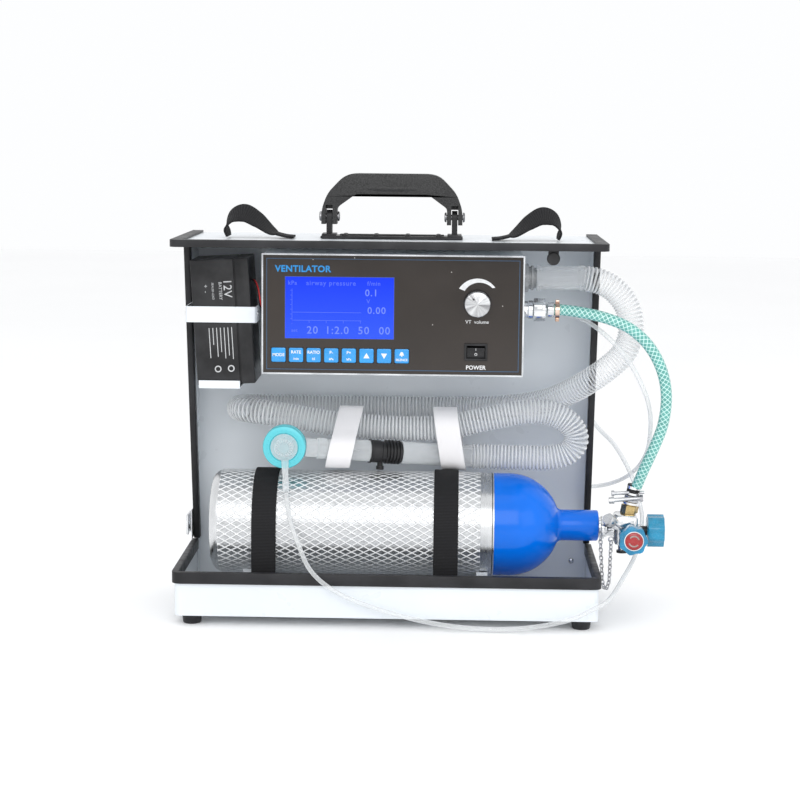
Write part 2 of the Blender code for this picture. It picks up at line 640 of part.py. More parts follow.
def power_switch(plastic):
    """Bezel snapped into the panel and a rocker on a cross pivot."""
    x, z = ROCKER_AT
    w, h = ROCKER_SIZE
    back = 0.0600
    face = PANEL_Y - GAP
    bezel = cube("switch_bezel", (x - w / 2, face - 0.0016, z - h / 2), (x + w / 2, face, z + h / 2),
                 plastic, 0.0004, 1)
    inset = 0.0018
    body = cube("switch_body", (x - w / 2 + inset, face - 0.0008, z - h / 2 + inset),
                (x + w / 2 - inset, back, z + h / 2 - inset), cutter=True)
    join(bezel, body)
    room = 0.0024
    hollow = cube("switch_hollow", (x - w / 2 + room, face - 0.01, z - h / 2 + room),
                  (x + w / 2 - room, back - 0.0010, z + h / 2 - room), cutter=True)
    cut(bezel, hollow)
    side = [(-0.0040, 0.0035), (-0.0054, -0.0045), (-0.0052, -0.0054), (0, -0.0042),
            (0.0052, -0.0054), (0.0054, -0.0045), (0.0040, 0.0035)]
    cos, sin = math.cos(ROCKER_TILT), math.sin(ROCKER_TILT)
    loop = [(a * cos + b * sin, b * cos - a * sin) for a, b in side]
    outline("power_rocker", [loop], w - 2 * room - 0.0008, (x, ROCKER_PIVOT_Y, z),
            (0, -math.pi / 2, 0), plastic)


def gas_ports(metal, grey):
    """Oxygen inlet with its union nut, and the breathing gas outlet."""
    x = PANEL_X[1] + GAP
    y, z = INLET_AT
    profile = [(0, 0.1657), (0.0052, 0.1657), (0.0060, 0.1645), (0.0060, x + 0.0056),
               (0.0085, x + 0.0050), (0.0090, x + 0.0040), (0.0090, x), (0.0060, x),
               (0.0060, 0.1290), (0, 0.1290)]
    turned("gas_inlet", profile, (0, y, z), (1, 0, 0), metal, steps=24)
    nut = rod("inlet_nut", (0.1513, y, z), (0.1638, y, z), 0.0124, metal, sides=6)
    round_edges(nut, 0.0008, 1)
    cut(nut, rod("nut_bore", (0.14, y, z), (0.18, y, z), 0.0060 + GAP, cutter=True))

    y, z = PORT_AT
    profile = [(0.0090, 0.1541), (0.0110, 0.1541), (0.0112, x + 0.0075), (0.0150, x + 0.0070),
               (0.0150, x), (0.0110, x), (0.0110, 0.1290), (0.0090, 0.1290), (0.0090, 0.1541)]
    turned("breathing_port", profile, (0, y, z), (1, 0, 0), grey, steps=32)


def electronics(green, brass):
    """Main board on its stand-offs and the gas solenoid valve."""
    rear = HOUSING_BACK - HOUSING_WALL - GAP
    board = cube("main_board", (-0.1200, 0.1500, 0.2760), (0.0700, 0.1516, 0.3780), green)
    for i, (x, z) in enumerate([(x, z) for x in (-0.112, 0.062) for z in (0.284, 0.370)]):
        join(board, rod(f"standoff_{i + 1}", (x, 0.1508, z), (x, rear, z), 0.003, sides=12,
                        cutter=True), solver="MANIFOLD")
    floor = PANEL_Z[0] + 0.0005 + HOUSING_WALL + GAP
    block = cube("solenoid_valve", (0.0850, 0.0950, floor), (0.1200, 0.1350, floor + 0.024), brass,
                 0.001, 1)
    join(block, rod("solenoid_coil", (0.1025, 0.1150, floor + 0.023),
                    (0.1025, 0.1150, floor + 0.060), 0.013, cutter=True))


# ---------------------------------------------------------------- battery
def battery(black, white, wire):
    x, y, z = BATTERY_AT
    w, d, h = BATTERY_SIZE
    body = cube("battery", (x - w / 2, y - d / 2, z - h / 2), (x + w / 2, y + d / 2, z + h / 2),
                black, 0.0015, 2)
    body.rotation_euler = (0, BATTERY_LEAN, 0)

    left, right = -0.2160, -0.1420
    back = HOUSING_BACK
    t = SHEET
    band = ribbon([(left, back), (left, 0.0600), (left + 0.0012, 0.0585), (right - 0.0012, 0.0585),
                   (right, 0.0600), (right, back)], t)
    bracket = outline("battery_bracket", [band], 0.017, (0, 0, 0.3240), mat=white)
    plate = cube("bracket_plate", (left - t / 2, back - t, 0.2380), (right + t / 2, back, 0.3330),
                 cutter=True)
    shelf = cube("bracket_shelf", (-0.2030, 0.0577, 0.2450), (-0.1590, back - t / 2, 0.2465),
                 cutter=True)
    lip = cube("bracket_lip", (-0.2030, 0.0577, 0.2450), (-0.1590, 0.0592, 0.2535), cutter=True)
    join(bracket, plate, shelf, lip)
    tube("battery_lead", LEAD_ROUTE, 0.0024, 0.004, wire)


# ---------------------------------------------------------------- oxygen cylinder
def cylinder(mat, webbing, white):
    """Aluminium cylinder with its domed shoulder and neck, lying along X."""
    neck = [(0, NECK_END), (NECK_R - 0.002, NECK_END), (NECK_R, NECK_END - 0.002)]
    blend = 0.006
    foot = DOME_X + math.sqrt((CYL_R + blend) ** 2 - (NECK_R + blend) ** 2)
    meet = math.degrees(math.atan2(NECK_R + blend, foot - DOME_X))
    fillet = [(b, a) for a, b in arc(foot, NECK_R + blend, blend, 270, 180 + meet, 4)]
    dome = [(b, a) for a, b in arc(DOME_X, 0, CYL_R, meet, 90, 10)]
    heel = [(b, a) for a, b in arc(CYL_LEFT + 0.012, CYL_R - 0.012, 0.012, 90, 165, 5)]
    tail = [(CYL_R - 0.017, CYL_LEFT + 0.002), (0, CYL_LEFT + 0.006)]
    turned("cylinder_body", neck + fillet + dome + heel + tail, (0, CYL_Y, CYL_Z), (1, 0, 0), mat,
           steps=40)

    reach = SLEEVE_R + GAP + STRAP_T / 2
    floor = FOOT_H + SHEET + GAP
    over = [(CYL_Y - reach, floor), (CYL_Y - reach, CYL_Z - 0.02)]
    over += arc(CYL_Y, CYL_Z, reach, 180, 0, 28)
    over += [(CYL_Y + reach, CYL_Z - 0.02), (CYL_Y + reach, floor)]
    loop = ribbon(over, STRAP_T)
    for x, name in zip(STRAP_XS, ("cylinder_strap_left", "cylinder_strap_right")):
        outline(name, [loop], STRAP_W, (x, 0, 0), (math.pi / 2, 0, math.pi / 2), webbing)

    cradle = cube("cylinder_cradle", (-0.1650, 0.0480, floor), (0.1150, 0.1120, floor + 0.002),
                  white)
    for i, x in enumerate((-0.1550, 0.0950)):
        join(cradle, cube(f"cradle_rib_{i + 1}", (x, 0.0480, floor + 0.001),
                          (x + 0.012, 0.1120, 0.0530), cutter=True))
    cut(cradle, rod("cradle_bed", (-0.25, CYL_Y, CYL_Z), (0.25, CYL_Y, CYL_Z), SLEEVE_R + GAP,
                    sides=64, cutter=True))


def wheel_loop(radius, lobes, depth, steps):
    """A handwheel's outline, with soft finger lobes."""
    turns = [2 * math.pi * i / steps for i in range(steps)]
    return [((radius + depth * math.cos(lobes * a)) * math.cos(a),
             (radius + depth * math.cos(lobes * a)) * math.sin(a)) for a in turns]


def cylinder_valve(metal, blue, brass, steel):
    """Valve body on the neck, two handwheels, hose fitting with clamp, and the tethered cap."""
    start = NECK_END + GAP
    body = cube("valve_body", (0.2430, 0.0640, 0.0790), (0.2680, 0.0960, 0.1120), metal, 0.004, 2)
    stub = rod("valve_stub", (start, CYL_Y, 0.0960), (0.2450, CYL_Y, 0.0960), 0.0090, cutter=True)
    front = rod("front_boss", (WHEEL_AT[0], 0.0560, WHEEL_AT[1]), (WHEEL_AT[0], 0.0700, WHEEL_AT[1]),
                0.0060, cutter=True)
    side = rod("side_boss", (0.2650, CYL_Y, SIDE_WHEEL_Z), (0.2715, CYL_Y, SIDE_WHEEL_Z), 0.0070,
               cutter=True)
    port = rod("fill_port", (0.2500, 0.0720, 0.0980), (0.2395, 0.0590, 0.1065), 0.0055, cutter=True)
    drain = rod("relief_plug", (0.2520, 0.0740, 0.0820), (0.2520, 0.0740, 0.0720), 0.0040,
                cutter=True)
    join(body, stub, front, side, port, drain)

    x, z = WHEEL_AT
    wheel = outline("front_handwheel", [wheel_loop(WHEEL_R, 7, 0.0009, 42)], 0.014,
                    (x, 0.0450, z), (math.pi / 2, 0, 0), blue)
    round_edges(wheel, 0.0015)
    join(wheel, rod("front_stem", (x, 0.0500, z), (x, 0.0556, z), 0.0042, cutter=True))
    other = outline("side_handwheel", [wheel_loop(0.0172, 9, 0.0008, 54)], 0.0175,
                    (0.2880, CYL_Y, SIDE_WHEEL_Z), (math.pi / 2, 0, math.pi / 2), blue)
    round_edges(other, 0.0025)
    join(other, rod("side_stem", (0.2720, CYL_Y, SIDE_WHEEL_Z), (0.2820, CYL_Y, SIDE_WHEEL_Z),
                    0.0045, cutter=True))

    foot = Vector(FITTING_FOOT)
    lean = Vector((math.sin(FITTING_LEAN), 0, math.cos(FITTING_LEAN)))
    foot_cut = rod("fitting_foot", (foot.x, CYL_Y, 0.1000), (foot.x, CYL_Y, 0.1123), 0.0300,
                   cutter=True)
    fitting = rod("hose_fitting", foot - lean * 0.004, foot + lean * 0.0085, 0.0095, brass, sides=6)
    join(fitting, rod("fitting_neck", foot + lean * 0.008, foot + lean * 0.0125, 0.0065,
                      cutter=True))
    cut(fitting, foot_cut)
    middle = foot + lean * CLAMP_AT
    half = lean * 0.0030
    clamp = rod("hose_clamp", middle - half, middle + half, 0.0080, steel, sides=28)
    screw = rod("clamp_screw", middle + Vector((-0.0240, -0.0075, -0.0010)),
                middle + Vector((0.0110, -0.0075, 0.0020)), 0.0024, sides=12, cutter=True)
    join(clamp, screw)
    cut(clamp, rod("clamp_bore", middle - 3 * half, middle + 3 * half, OXYGEN_D / 2 + GAP,
                   cutter=True))

    mouth = Vector((0.2395, 0.0590, 0.1065))
    way = (mouth - Vector((0.2500, 0.0720, 0.0980))).normalized()
    cap = rod("dust_cap", mouth + way * GAP, mouth + way * 0.0095, 0.0072, steel, sides=6)
    round_edges(cap, 0.0008, 1)
    tube("cap_chain", CHAIN_ROUTE, 0.0026, 0.005, steel)


# ---------------------------------------------------------------- breathing circuit
def breathing_circuit(clear, black, teal, green, white):
    tube("breathing_hose", BREATHING_ROUTE, HOSE_D, 0.0200, clear, resolution=4)
    tube("oxygen_hose", OXYGEN_ROUTE, OXYGEN_D, 0.0160, green, resolution=4)
    tube("control_tube", TUBE_ROUTE, TUBE_D, 0.0200, clear)

    run = (VALVE_AT - PATIENT_START).normalized()
    ahead = (VALVE_AT - PATIENT_START).length
    radius = 0.0120
    split = 0.0960
    profile = [(0, split), (radius, split), (radius + 0.0012, split - 0.004),
               (radius + 0.0012, split - 0.028), (radius, split - 0.032), (radius, 0.004),
               (radius + 0.001, GAP), (0, GAP)]
    turned("patient_connector", profile, PATIENT_START, run, black, steps=28)

    depth = 0.0200
    body = [(0, 0.0120), (0.0100, 0.0120), (0.0120, 0.0100), (0.0120, depth / 2 - 0.002),
            (EXHALE_R - 0.003, depth / 2 - 0.002), (EXHALE_R, depth / 2 - 0.005),
            (EXHALE_R, 0.004 - depth / 2), (EXHALE_R - 0.002, -depth / 2), (0, -depth / 2)]
    valve = turned("exhalation_valve", body, VALVE_AT, (0, -1, 0), teal, steps=32)
    bpy.context.view_layer.update()
    valve = solid(valve)
    neck = rod("valve_neck", PATIENT_START + run * (split + GAP),
               PATIENT_START + run * (ahead - EXHALE_R + 0.006), 0.0105, cutter=True)
    spout_foot = Vector((-0.1100, 0.0500, 0.1660))
    spout_tip = Vector((-0.10775, 0.0336, 0.1382))
    spout = rod("valve_spout", spout_foot, spout_tip, 0.0036, sides=16, cutter=True)
    join(valve, neck, spout)

    hose_ties(white)


def hose_ties(white):
    """Two hook-and-loop straps from the back panel round the three runs of hose."""
    back = HOUSING_BACK
    t = 0.0012
    rear = back - t
    over = [(rear, 0.1925), (0.1540, 0.1935), (0.1375, 0.2035), (0.1280, 0.2150), (0.1140, 0.2192)]
    left = over + [(0.0990, 0.2100), (0.0800, 0.1990), (0.0620, 0.1895), (0.0560, 0.1750),
                   (0.0640, 0.1620), (0.0800, 0.1590), (0.1140, 0.1620), (rear, 0.1750)]
    right = over + [(0.0950, 0.2110), (0.0880, 0.1950), (0.0880, 0.1680), (0.0930, 0.1575),
                    (0.1030, 0.1538), (0.1140, 0.1515), (0.1300, 0.1540), (rear, 0.1750)]
    for name, path, x, lean in (("hose_tie_left", left, -0.0490, 12),
                                ("hose_tie_right", right, 0.0640, -9)):
        line = flat_route(path, 0.006)
        loop = ribbon(line, t)
        plate = outline(name, [loop], 0.026, (x, 0, 0), (math.pi / 2, 0, math.pi / 2), white)
        shear = math.tan(math.radians(lean))
        for v in plate.data.vertices:
            v.co.z += (v.co.y - 0.19) * shear
        join(plate, cube(name + "_foot", (x - 0.013, back - t, 0.1700), (x + 0.013, back, 0.1980),
                         cutter=True))


# ---------------------------------------------------------------- build
def build():
    white = material("white_paint", (0.78, 0.81, 0.83), 0.35)
    rubber = material("black_rubber", (0.02, 0.02, 0.02), 0.6)
    plastic = material("black_plastic", (0.03, 0.03, 0.03), 0.45)
    steel = material("steel", (0.6, 0.6, 0.6), 0.3, 1.0)
    chrome = material("chrome", (0.8, 0.8, 0.8), 0.12, 1.0)
    brass = material("brass", (0.65, 0.5, 0.25), 0.3, 1.0)
    glossy = material("panel_gloss", (0.04, 0.035, 0.03), 0.15)
    screen = material("screen_blue", (0.02, 0.08, 0.8), 0.1)
    key_blue = material("key_blue", (0.02, 0.30, 0.75), 0.3)
    board = material("board_green", (0.02, 0.25, 0.08), 0.5)
    grey = material("grey_plastic", (0.35, 0.35, 0.35), 0.4)
    metal = material("cylinder_aluminium", (0.7, 0.72, 0.74), 0.35, 0.8)
    blue = material("wheel_blue", (0.01, 0.25, 0.55), 0.3)
    webbing = material("black_webbing", (0.02, 0.02, 0.02), 0.9)
    velcro = material("white_strap", (0.85, 0.85, 0.86), 0.8)
    clear = material("clear_plastic", (0.75, 0.80, 0.82), 0.2)
    teal = material("valve_teal", (0.10, 0.55, 0.62), 0.3)
    green = material("oxygen_green", (0.20, 0.62, 0.50), 0.3)

    base_tray(white)
    back_shell(white)
    top_plate(white)
    trims(rubber)
    feet(rubber)
    latch(chrome)
    handle(plastic, steel)
    shoulder_straps(webbing)
    unit_housing(white)
    front_panel(glossy)
    keys(key_blue)
    display(screen)
    volume_control(chrome, grey)
    power_switch(plastic)
    gas_ports(chrome, grey)
    electronics(board, brass)
    battery(plastic, white, rubber)
    cylinder(metal, webbing, white)
    cylinder_valve(chrome, blue, brass, steel)
    breathing_circuit(clear, plastic, teal, green, velcro)


clear_scene()
PARTS = collection("ventilator")
CUTTERS = collection("cutters")
CASE = bpy.data.objects.new("case_datum", None)
bpy.context.scene.collection.objects.link(CASE)
CASE.location = DATUM
build()
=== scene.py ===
"""Looks of a portable ventilator: a steel carrying case that holds the ventilator unit, its
battery, an oxygen cylinder with its valve, and the patient's breathing circuit.

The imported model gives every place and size. Places are written from the case's centre line (x),
its front edge (y) and the floor (z), and at() moves them to the model's own frame. Metres.
"""

import math

import bmesh
import bpy
from bpy.props import FloatProperty, FloatVectorProperty, IntProperty, PointerProperty
from mathutils import Matrix, Vector


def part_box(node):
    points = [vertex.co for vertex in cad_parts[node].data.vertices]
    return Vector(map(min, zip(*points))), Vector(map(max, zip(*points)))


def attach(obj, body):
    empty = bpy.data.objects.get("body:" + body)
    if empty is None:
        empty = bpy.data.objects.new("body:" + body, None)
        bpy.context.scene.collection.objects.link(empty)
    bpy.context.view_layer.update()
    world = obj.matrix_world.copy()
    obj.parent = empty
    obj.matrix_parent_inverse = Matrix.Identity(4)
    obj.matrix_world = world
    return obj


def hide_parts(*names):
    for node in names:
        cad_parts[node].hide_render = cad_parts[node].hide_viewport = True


bl_info = {
    "name": "Portable ventilator",
    "version": (1, 0, 0),
    "blender": (4, 5, 0),
    "location": "3D View > Sidebar > Ventilator",
    "description": "Builds the ventilator's finished pieces round its packed model",
    "category": "Add Mesh",
}

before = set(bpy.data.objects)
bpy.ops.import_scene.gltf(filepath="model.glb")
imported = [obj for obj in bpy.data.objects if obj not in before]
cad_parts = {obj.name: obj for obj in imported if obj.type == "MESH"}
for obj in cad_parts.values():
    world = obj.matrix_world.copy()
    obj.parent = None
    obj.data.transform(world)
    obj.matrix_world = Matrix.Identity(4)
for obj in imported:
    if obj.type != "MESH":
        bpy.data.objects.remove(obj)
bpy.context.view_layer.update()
TRAY_LOW, TRAY_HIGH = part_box("trim_tray")
CASE = Vector(((TRAY_LOW[0] + TRAY_HIGH[0]) / 2, TRAY_LOW[1], 0))
PANEL_LOW, PANEL_HIGH = (Vector(corner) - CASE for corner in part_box("front_panel"))
LCD_LOW, LCD_HIGH = (Vector(corner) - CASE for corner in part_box("lcd_module"))
PANEL_FACE = PANEL_LOW.y
INK = 0.00012
INK_DEPTH = INK * 0.9
CLOSE = 0.000001
HOSE_D, OXYGEN_D, TUBE_D = 0.028, 0.012, 0.0048
FITTING_FOOT = Vector((0.2590, 0.0800, 0.1124))
FITTING_LEAN = Vector((math.sin(math.radians(10)), 0, math.cos(math.radians(10))))

BREATHING_ROUTE = (
    (0.1545, 0.0750, 0.3655), (0.1800, 0.0750, 0.3655), (0.2080, 0.0750, 0.3655),
    (0.2330, 0.0770, 0.3570), (0.2510, 0.0790, 0.3370), (0.2565, 0.0800, 0.3120),
    (0.2510, 0.0830, 0.2880), (0.2360, 0.0900, 0.2700), (0.2170, 0.1010, 0.2540),
    (0.1950, 0.1180, 0.2380), (0.1680, 0.1380, 0.2240), (0.1320, 0.1570, 0.2150),
    (0.0900, 0.1695, 0.2110), (0.0400, 0.1745, 0.2100), (-0.0300, 0.1750, 0.2100),
    (-0.1000, 0.1750, 0.2095), (-0.1400, 0.1745, 0.2095), (-0.1600, 0.1660, 0.2105),
    (-0.1690, 0.1460, 0.2120), (-0.1600, 0.1250, 0.2130), (-0.1400, 0.1160, 0.2120),
    (-0.1100, 0.1140, 0.2080), (-0.0600, 0.1130, 0.2005), (-0.0100, 0.1120, 0.1970),
    (0.0300, 0.1120, 0.1965), (0.0650, 0.1120, 0.1990), (0.1050, 0.1130, 0.2080),
    (0.1450, 0.1140, 0.2160), (0.1740, 0.1150, 0.2150), (0.1950, 0.1150, 0.2040),
    (0.2030, 0.1150, 0.1880), (0.1960, 0.1150, 0.1730), (0.1760, 0.1150, 0.1660),
    (0.1400, 0.1155, 0.1655), (0.1080, 0.1160, 0.1660), (0.0851, 0.1143, 0.1664),
    (0.0663, 0.1086, 0.1680),
)
OXYGEN_ROUTE = (
    (0.1661, 0.0600, 0.3330), (0.1820, 0.0600, 0.3330), (0.2050, 0.0550, 0.3305),
    (0.2300, 0.0510, 0.3250), (0.2530, 0.0500, 0.3150), (0.2730, 0.0500, 0.2970),
    (0.2870, 0.0510, 0.2720), (0.2930, 0.0530, 0.2440), (0.2910, 0.0570, 0.2140),
    (0.2830, 0.0620, 0.1880), (0.2740, 0.0690, 0.1640), (0.2665, 0.0760, 0.1420),
)
TUBE_ROUTE = (
    (0.1505, 0.0900, 0.3285), (0.1700, 0.0900, 0.3285), (0.1900, 0.0880, 0.3265),
    (0.2090, 0.0780, 0.3195), (0.2290, 0.0600, 0.3060), (0.2490, 0.0545, 0.2850),
    (0.2650, 0.0570, 0.2590), (0.2760, 0.0650, 0.2320), (0.2800, 0.0800, 0.2040),
    (0.2780, 0.1040, 0.1720), (0.2650, 0.1400, 0.1440), (0.2400, 0.1820, 0.1240),
    (0.2060, 0.2060, 0.1180), (0.1700, 0.2120, 0.1270), (0.1450, 0.2110, 0.1530),
    (0.1400, 0.2090, 0.1880), (0.1560, 0.2070, 0.2180), (0.1860, 0.2050, 0.2280),
    (0.2120, 0.2020, 0.2130), (0.2320, 0.1920, 0.1880), (0.2490, 0.1580, 0.1730),
    (0.2640, 0.1260, 0.1480), (0.2730, 0.1100, 0.1200), (0.2760, 0.1040, 0.0980),
    (0.2690, 0.0900, 0.0660), (0.2510, 0.0500, 0.0450), (0.2340, 0.0060, 0.0340),
    (0.2180, -0.0070, 0.0270), (0.1880, -0.0090, 0.0140), (0.1400, -0.0080, 0.0050),
    (0.0900, -0.0080, 0.0045), (0.0400, -0.0080, 0.0110), (-0.0100, -0.0080, 0.0240),
    (-0.0500, -0.0080, 0.0400), (-0.0780, -0.0050, 0.0620), (-0.0930, 0.0060, 0.0900),
    (-0.1030, 0.0200, 0.1140), (-0.1075, 0.0330, 0.1370),
)
CHAIN_ROUTE = (
    (0.2275, 0.0560, 0.1000), (0.2275, 0.0560, 0.0880), (0.2285, 0.0560, 0.0700),
    (0.2300, 0.0560, 0.0480), (0.2310, 0.0560, 0.0390), (0.2340, 0.0560, 0.0330),
    (0.2370, 0.0560, 0.0390), (0.2380, 0.0560, 0.0480), (0.2385, 0.0560, 0.0700),
    (0.2390, 0.0560, 0.0860),
)
LEAD_ROUTE = (
    (-0.1475, 0.0780, 0.3600), (-0.1440, 0.0720, 0.3580), (-0.1405, 0.0660, 0.3500),
    (-0.1388, 0.0640, 0.3400), (-0.1372, 0.0670, 0.3320), (-0.1350, 0.0720, 0.3300),
)
PATIENT_START = Vector((0.0660, 0.1085, 0.1680))
VALVE_AT = Vector((-0.1110, 0.0550, 0.1840))
PATIENT_RUN = (VALVE_AT - PATIENT_START).normalized()

KEYS = ("mode", "rate", "ratio", "pressure_low", "pressure_high", "up", "down", "silence")


def at(x, y, z):
    """A place in the case, moved to the model's frame."""
    return CASE + Vector((x, y, z))


def corners(node):
    """A node's lowest and highest corner, in the case."""
    return [Vector(corner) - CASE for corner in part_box(node)]


# ---------------------------------------------------------------- settings
class CaseSettings(bpy.types.PropertyGroup):
    paint: FloatVectorProperty(name="Paint", description="Powder coat of the steel case",
                               subtype="COLOR", size=3, default=(0.74, 0.78, 0.82))
    rubber: FloatVectorProperty(name="Rubber", description="Edge trims and feet",
                                subtype="COLOR", size=3, default=(0.018, 0.018, 0.020))
    webbing: FloatVectorProperty(name="Webbing", description="Shoulder and cylinder straps",
                                 subtype="COLOR", size=3, default=(0.012, 0.012, 0.013))


class UnitSettings(bpy.types.PropertyGroup):
    film: FloatVectorProperty(name="Panel film", description="Glossy film of the front panel",
                              subtype="COLOR", size=3, default=(0.021, 0.016, 0.013))
    screen: FloatVectorProperty(name="Screen", description="Backlight of the display",
                                subtype="COLOR", size=3, default=(0.004, 0.030, 0.62))
    key: FloatVectorProperty(name="Keys", description="Key caps and the title word",
                             subtype="COLOR", size=3, default=(0.006, 0.29, 0.72))
    glow: FloatProperty(name="Backlight", description="Strength of the display's light",
                        default=0.55, min=0.0, max=5.0)


class CylinderSettings(bpy.types.PropertyGroup):
    paint: FloatVectorProperty(name="Dome paint", description="Paint of the shoulder and neck",
                               subtype="COLOR", size=3, default=(0.0, 0.150, 0.74))
    wheel: FloatVectorProperty(name="Handwheels", description="Moulded handwheels",
                               subtype="COLOR", size=3, default=(0.0, 0.215, 0.41))
    mesh_long: FloatProperty(name="Net length", description="Length of one diamond of the net",
                             unit="LENGTH", default=0.0128)
    mesh_round: IntProperty(name="Net count", description="Diamonds round the sleeve",
                            default=46, min=8)
    paint_from: FloatProperty(name="Paint from", description="Where the dome paint starts",
                              unit="LENGTH", default=0.1130)


class CircuitSettings(bpy.types.PropertyGroup):
    rib_pitch: FloatProperty(name="Rib pitch", description="Spacing of the hose's ribs",
                             unit="LENGTH", default=0.0039)
    rib_depth: FloatProperty(name="Rib depth", description="Height of the hose's ribs",
                             unit="LENGTH", default=0.0017)
    teal: FloatVectorProperty(name="Valve", description="Moulded shell of the exhalation valve",
                              subtype="COLOR", size=3, default=(0.045, 0.36, 0.43))
    oxygen: FloatVectorProperty(name="Oxygen hose", description="Tint of the oxygen hose",
                                subtype="COLOR", size=3, default=(0.11, 0.40, 0.36))


# ---------------------------------------------------------------- shapes
def finished(bm, name, mats, body="case", angle=38, instead=()):
    """The bmesh as a piece that rides on a body, and stands for the named nodes."""
    mesh = bpy.data.meshes.new(name)
    bm.to_mesh(mesh)
    bm.free()
    for mat in mats:
        mesh.materials.append(mat)
    if angle:
        mesh.shade_smooth()
        mesh.set_sharp_from_angle(angle=math.radians(angle))
    obj = bpy.data.objects.new(name, mesh)
    bpy.context.scene.collection.objects.link(obj)
    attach(obj, body)
    if instead:
        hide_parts(*instead)
    return obj


def recast(node, mats, body="case", angle=38, bevel=0.0):
    """A node's own shape with its doubles merged and its round faces shaded smooth."""
    bm = bmesh.new()
    bm.from_mesh(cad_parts[node].data)
    bmesh.ops.remove_doubles(bm, verts=bm.verts, dist=0.000002)
    bmesh.ops.dissolve_limit(bm, angle_limit=math.radians(0.5), verts=bm.verts, edges=bm.edges)
    bmesh.ops.recalc_face_normals(bm, faces=bm.faces)
    obj = finished(bm, node + "_finished", mats, body, angle, (node,))
    if bevel:
        edge = obj.modifiers.new("edge", "BEVEL")
        edge.width = bevel
        edge.segments = 2
        edge.limit_method = "ANGLE"
        edge.angle_limit = math.radians(50)
        edge.harden_normals = True
    return obj


def shift(bm, verts, matrix):
    bmesh.ops.transform(bm, matrix=matrix, verts=verts)


def facing(direction, centre):
    """The matrix that takes +Z to a direction and the origin to a centre."""
    turn = Vector(direction).to_track_quat("Z", "Y").to_matrix().to_4x4()
    return Matrix.Translation(centre) @ turn


def faces_of(verts):
    return {f for v in verts for f in v.link_faces}


def edges_of(verts):
    return {e for v in verts for e in v.link_edges}


def coloured(faces, mat):
    for face in faces:
        face.material_index = mat


def cube(bm, low, high):
    """A sharp box between two corners, given as vectors."""
    verts = bmesh.ops.create_cube(bm, size=1.0)["verts"]
    bmesh.ops.scale(bm, vec=high - low, verts=verts)
    bmesh.ops.translate(bm, vec=(low + high) / 2, verts=verts)
    return verts


def rounded(bm, verts, edges, reach, segments):
    """A shape's vertices after some of its edges are rounded."""
    faces = faces_of(verts)
    done = bmesh.ops.bevel(bm, geom=list(edges), offset=reach, segments=segments, profile=0.5,
                           affect="EDGES", material=-1)
    faces = set(done["faces"]) | {f for f in faces if f.is_valid}
    return {v for f in faces for v in f.verts}


def block(bm, low, high, edge=0.0, segments=2, mat=0, matrix=None):
    """A box between two places in the case, with rounded edges."""
    verts = cube(bm, Vector(low), Vector(high))
    if edge:
        verts = rounded(bm, verts, edges_of(verts), edge, segments)
    coloured(faces_of(verts), mat)
    shift(bm, list(verts), matrix or Matrix.Translation(CASE))


def slab(bm, low, high, corner, edge):
    """A plate facing -Y whose corners and front edge are rounded."""
    verts = cube(bm, low, high)
    deep = [e for e in edges_of(verts)
            if abs(e.verts[0].co.y - e.verts[1].co.y) > (high.y - low.y) / 2]
    verts = rounded(bm, verts, deep, corner, 5)
    rim = [e for e in edges_of(verts) if all(v.co.y < low.y + CLOSE for v in e.verts)]
    verts = rounded(bm, verts, rim, edge, 2)
    shift(bm, list(verts), Matrix.Translation(CASE))


def rod(bm, start, end, radius, end_radius=None, sides=32, mat=0):
    """A round or, with few sides, a polygonal bar between two places in the case."""
    start, end = Vector(start), Vector(end)
    verts = bmesh.ops.create_cone(bm, cap_ends=True, segments=sides, radius1=radius,
                                  radius2=radius if end_radius is None else end_radius,
                                  depth=(end - start).length)["verts"]
    shift(bm, verts, facing(end - start, CASE + (start + end) / 2))
    coloured(faces_of(verts), mat)


def turned(bm, profile, centre, direction, steps=64, mat=0):
    """A profile of (radius, height) turned about a direction through a place in the case."""
    rim = [bm.verts.new((r, 0, h)) for r, h in profile]
    edges = [bm.edges.new(pair) for pair in zip(rim, rim[1:])]
    bmesh.ops.spin(bm, geom=rim + edges, cent=(0, 0, 0), axis=(0, 0, 1), dvec=(0, 0, 0),
                   angle=2 * math.pi, steps=steps, use_merge=True)
    verts = connected(rim)
    bmesh.ops.remove_doubles(bm, verts=verts, dist=0.000003)
    verts = connected([v for v in rim if v.is_valid])
    faces = list(faces_of(verts))
    bmesh.ops.recalc_face_normals(bm, faces=faces)
    coloured(faces, mat)
    shift(bm, verts, facing(direction, CASE + Vector(centre)))
    return verts


def connected(seeds):
    """Every vertex that can be reached from these."""
    found, rest = set(seeds), list(seeds)
    while rest:
        for edge in rest.pop().link_edges:
            for vert in edge.verts:
                if vert not in found:
                    found.add(vert)
                    rest.append(vert)
    return list(found)


def border(bm, low, high, width, depth):
    """A flat rectangular frame facing -Y, between two corners (x, y, z) of its front."""
    corners = ((low[0], low[2]), (high[0], low[2]), (high[0], high[2]), (low[0], high[2]))
    verts = [bm.verts.new((x, low[1], z)) for x, z in corners]
    face = bm.faces.new(verts)
    face.normal_update()
    ring = bmesh.ops.inset_individual(bm, faces=[face], thickness=width,
                                      use_even_offset=True)["faces"]
    bmesh.ops.delete(bm, geom=[face], context="FACES_ONLY")
    thickened(bm, ring, depth, 0)


def thickened(bm, faces, depth, mat):
    """Flat faces facing -Y made into a closed plate and moved to the case."""
    more = bmesh.ops.extrude_face_region(bm, geom=faces)["geom"]
    far = [g for g in more if isinstance(g, bmesh.types.BMVert)]
    bmesh.ops.translate(bm, vec=(0, depth, 0), verts=far)
    verts = connected(far)
    faces = list(faces_of(verts))
    bmesh.ops.recalc_face_normals(bm, faces=faces)
    coloured(faces, mat)
    shift(bm, verts, Matrix.Translation(CASE))
    return verts


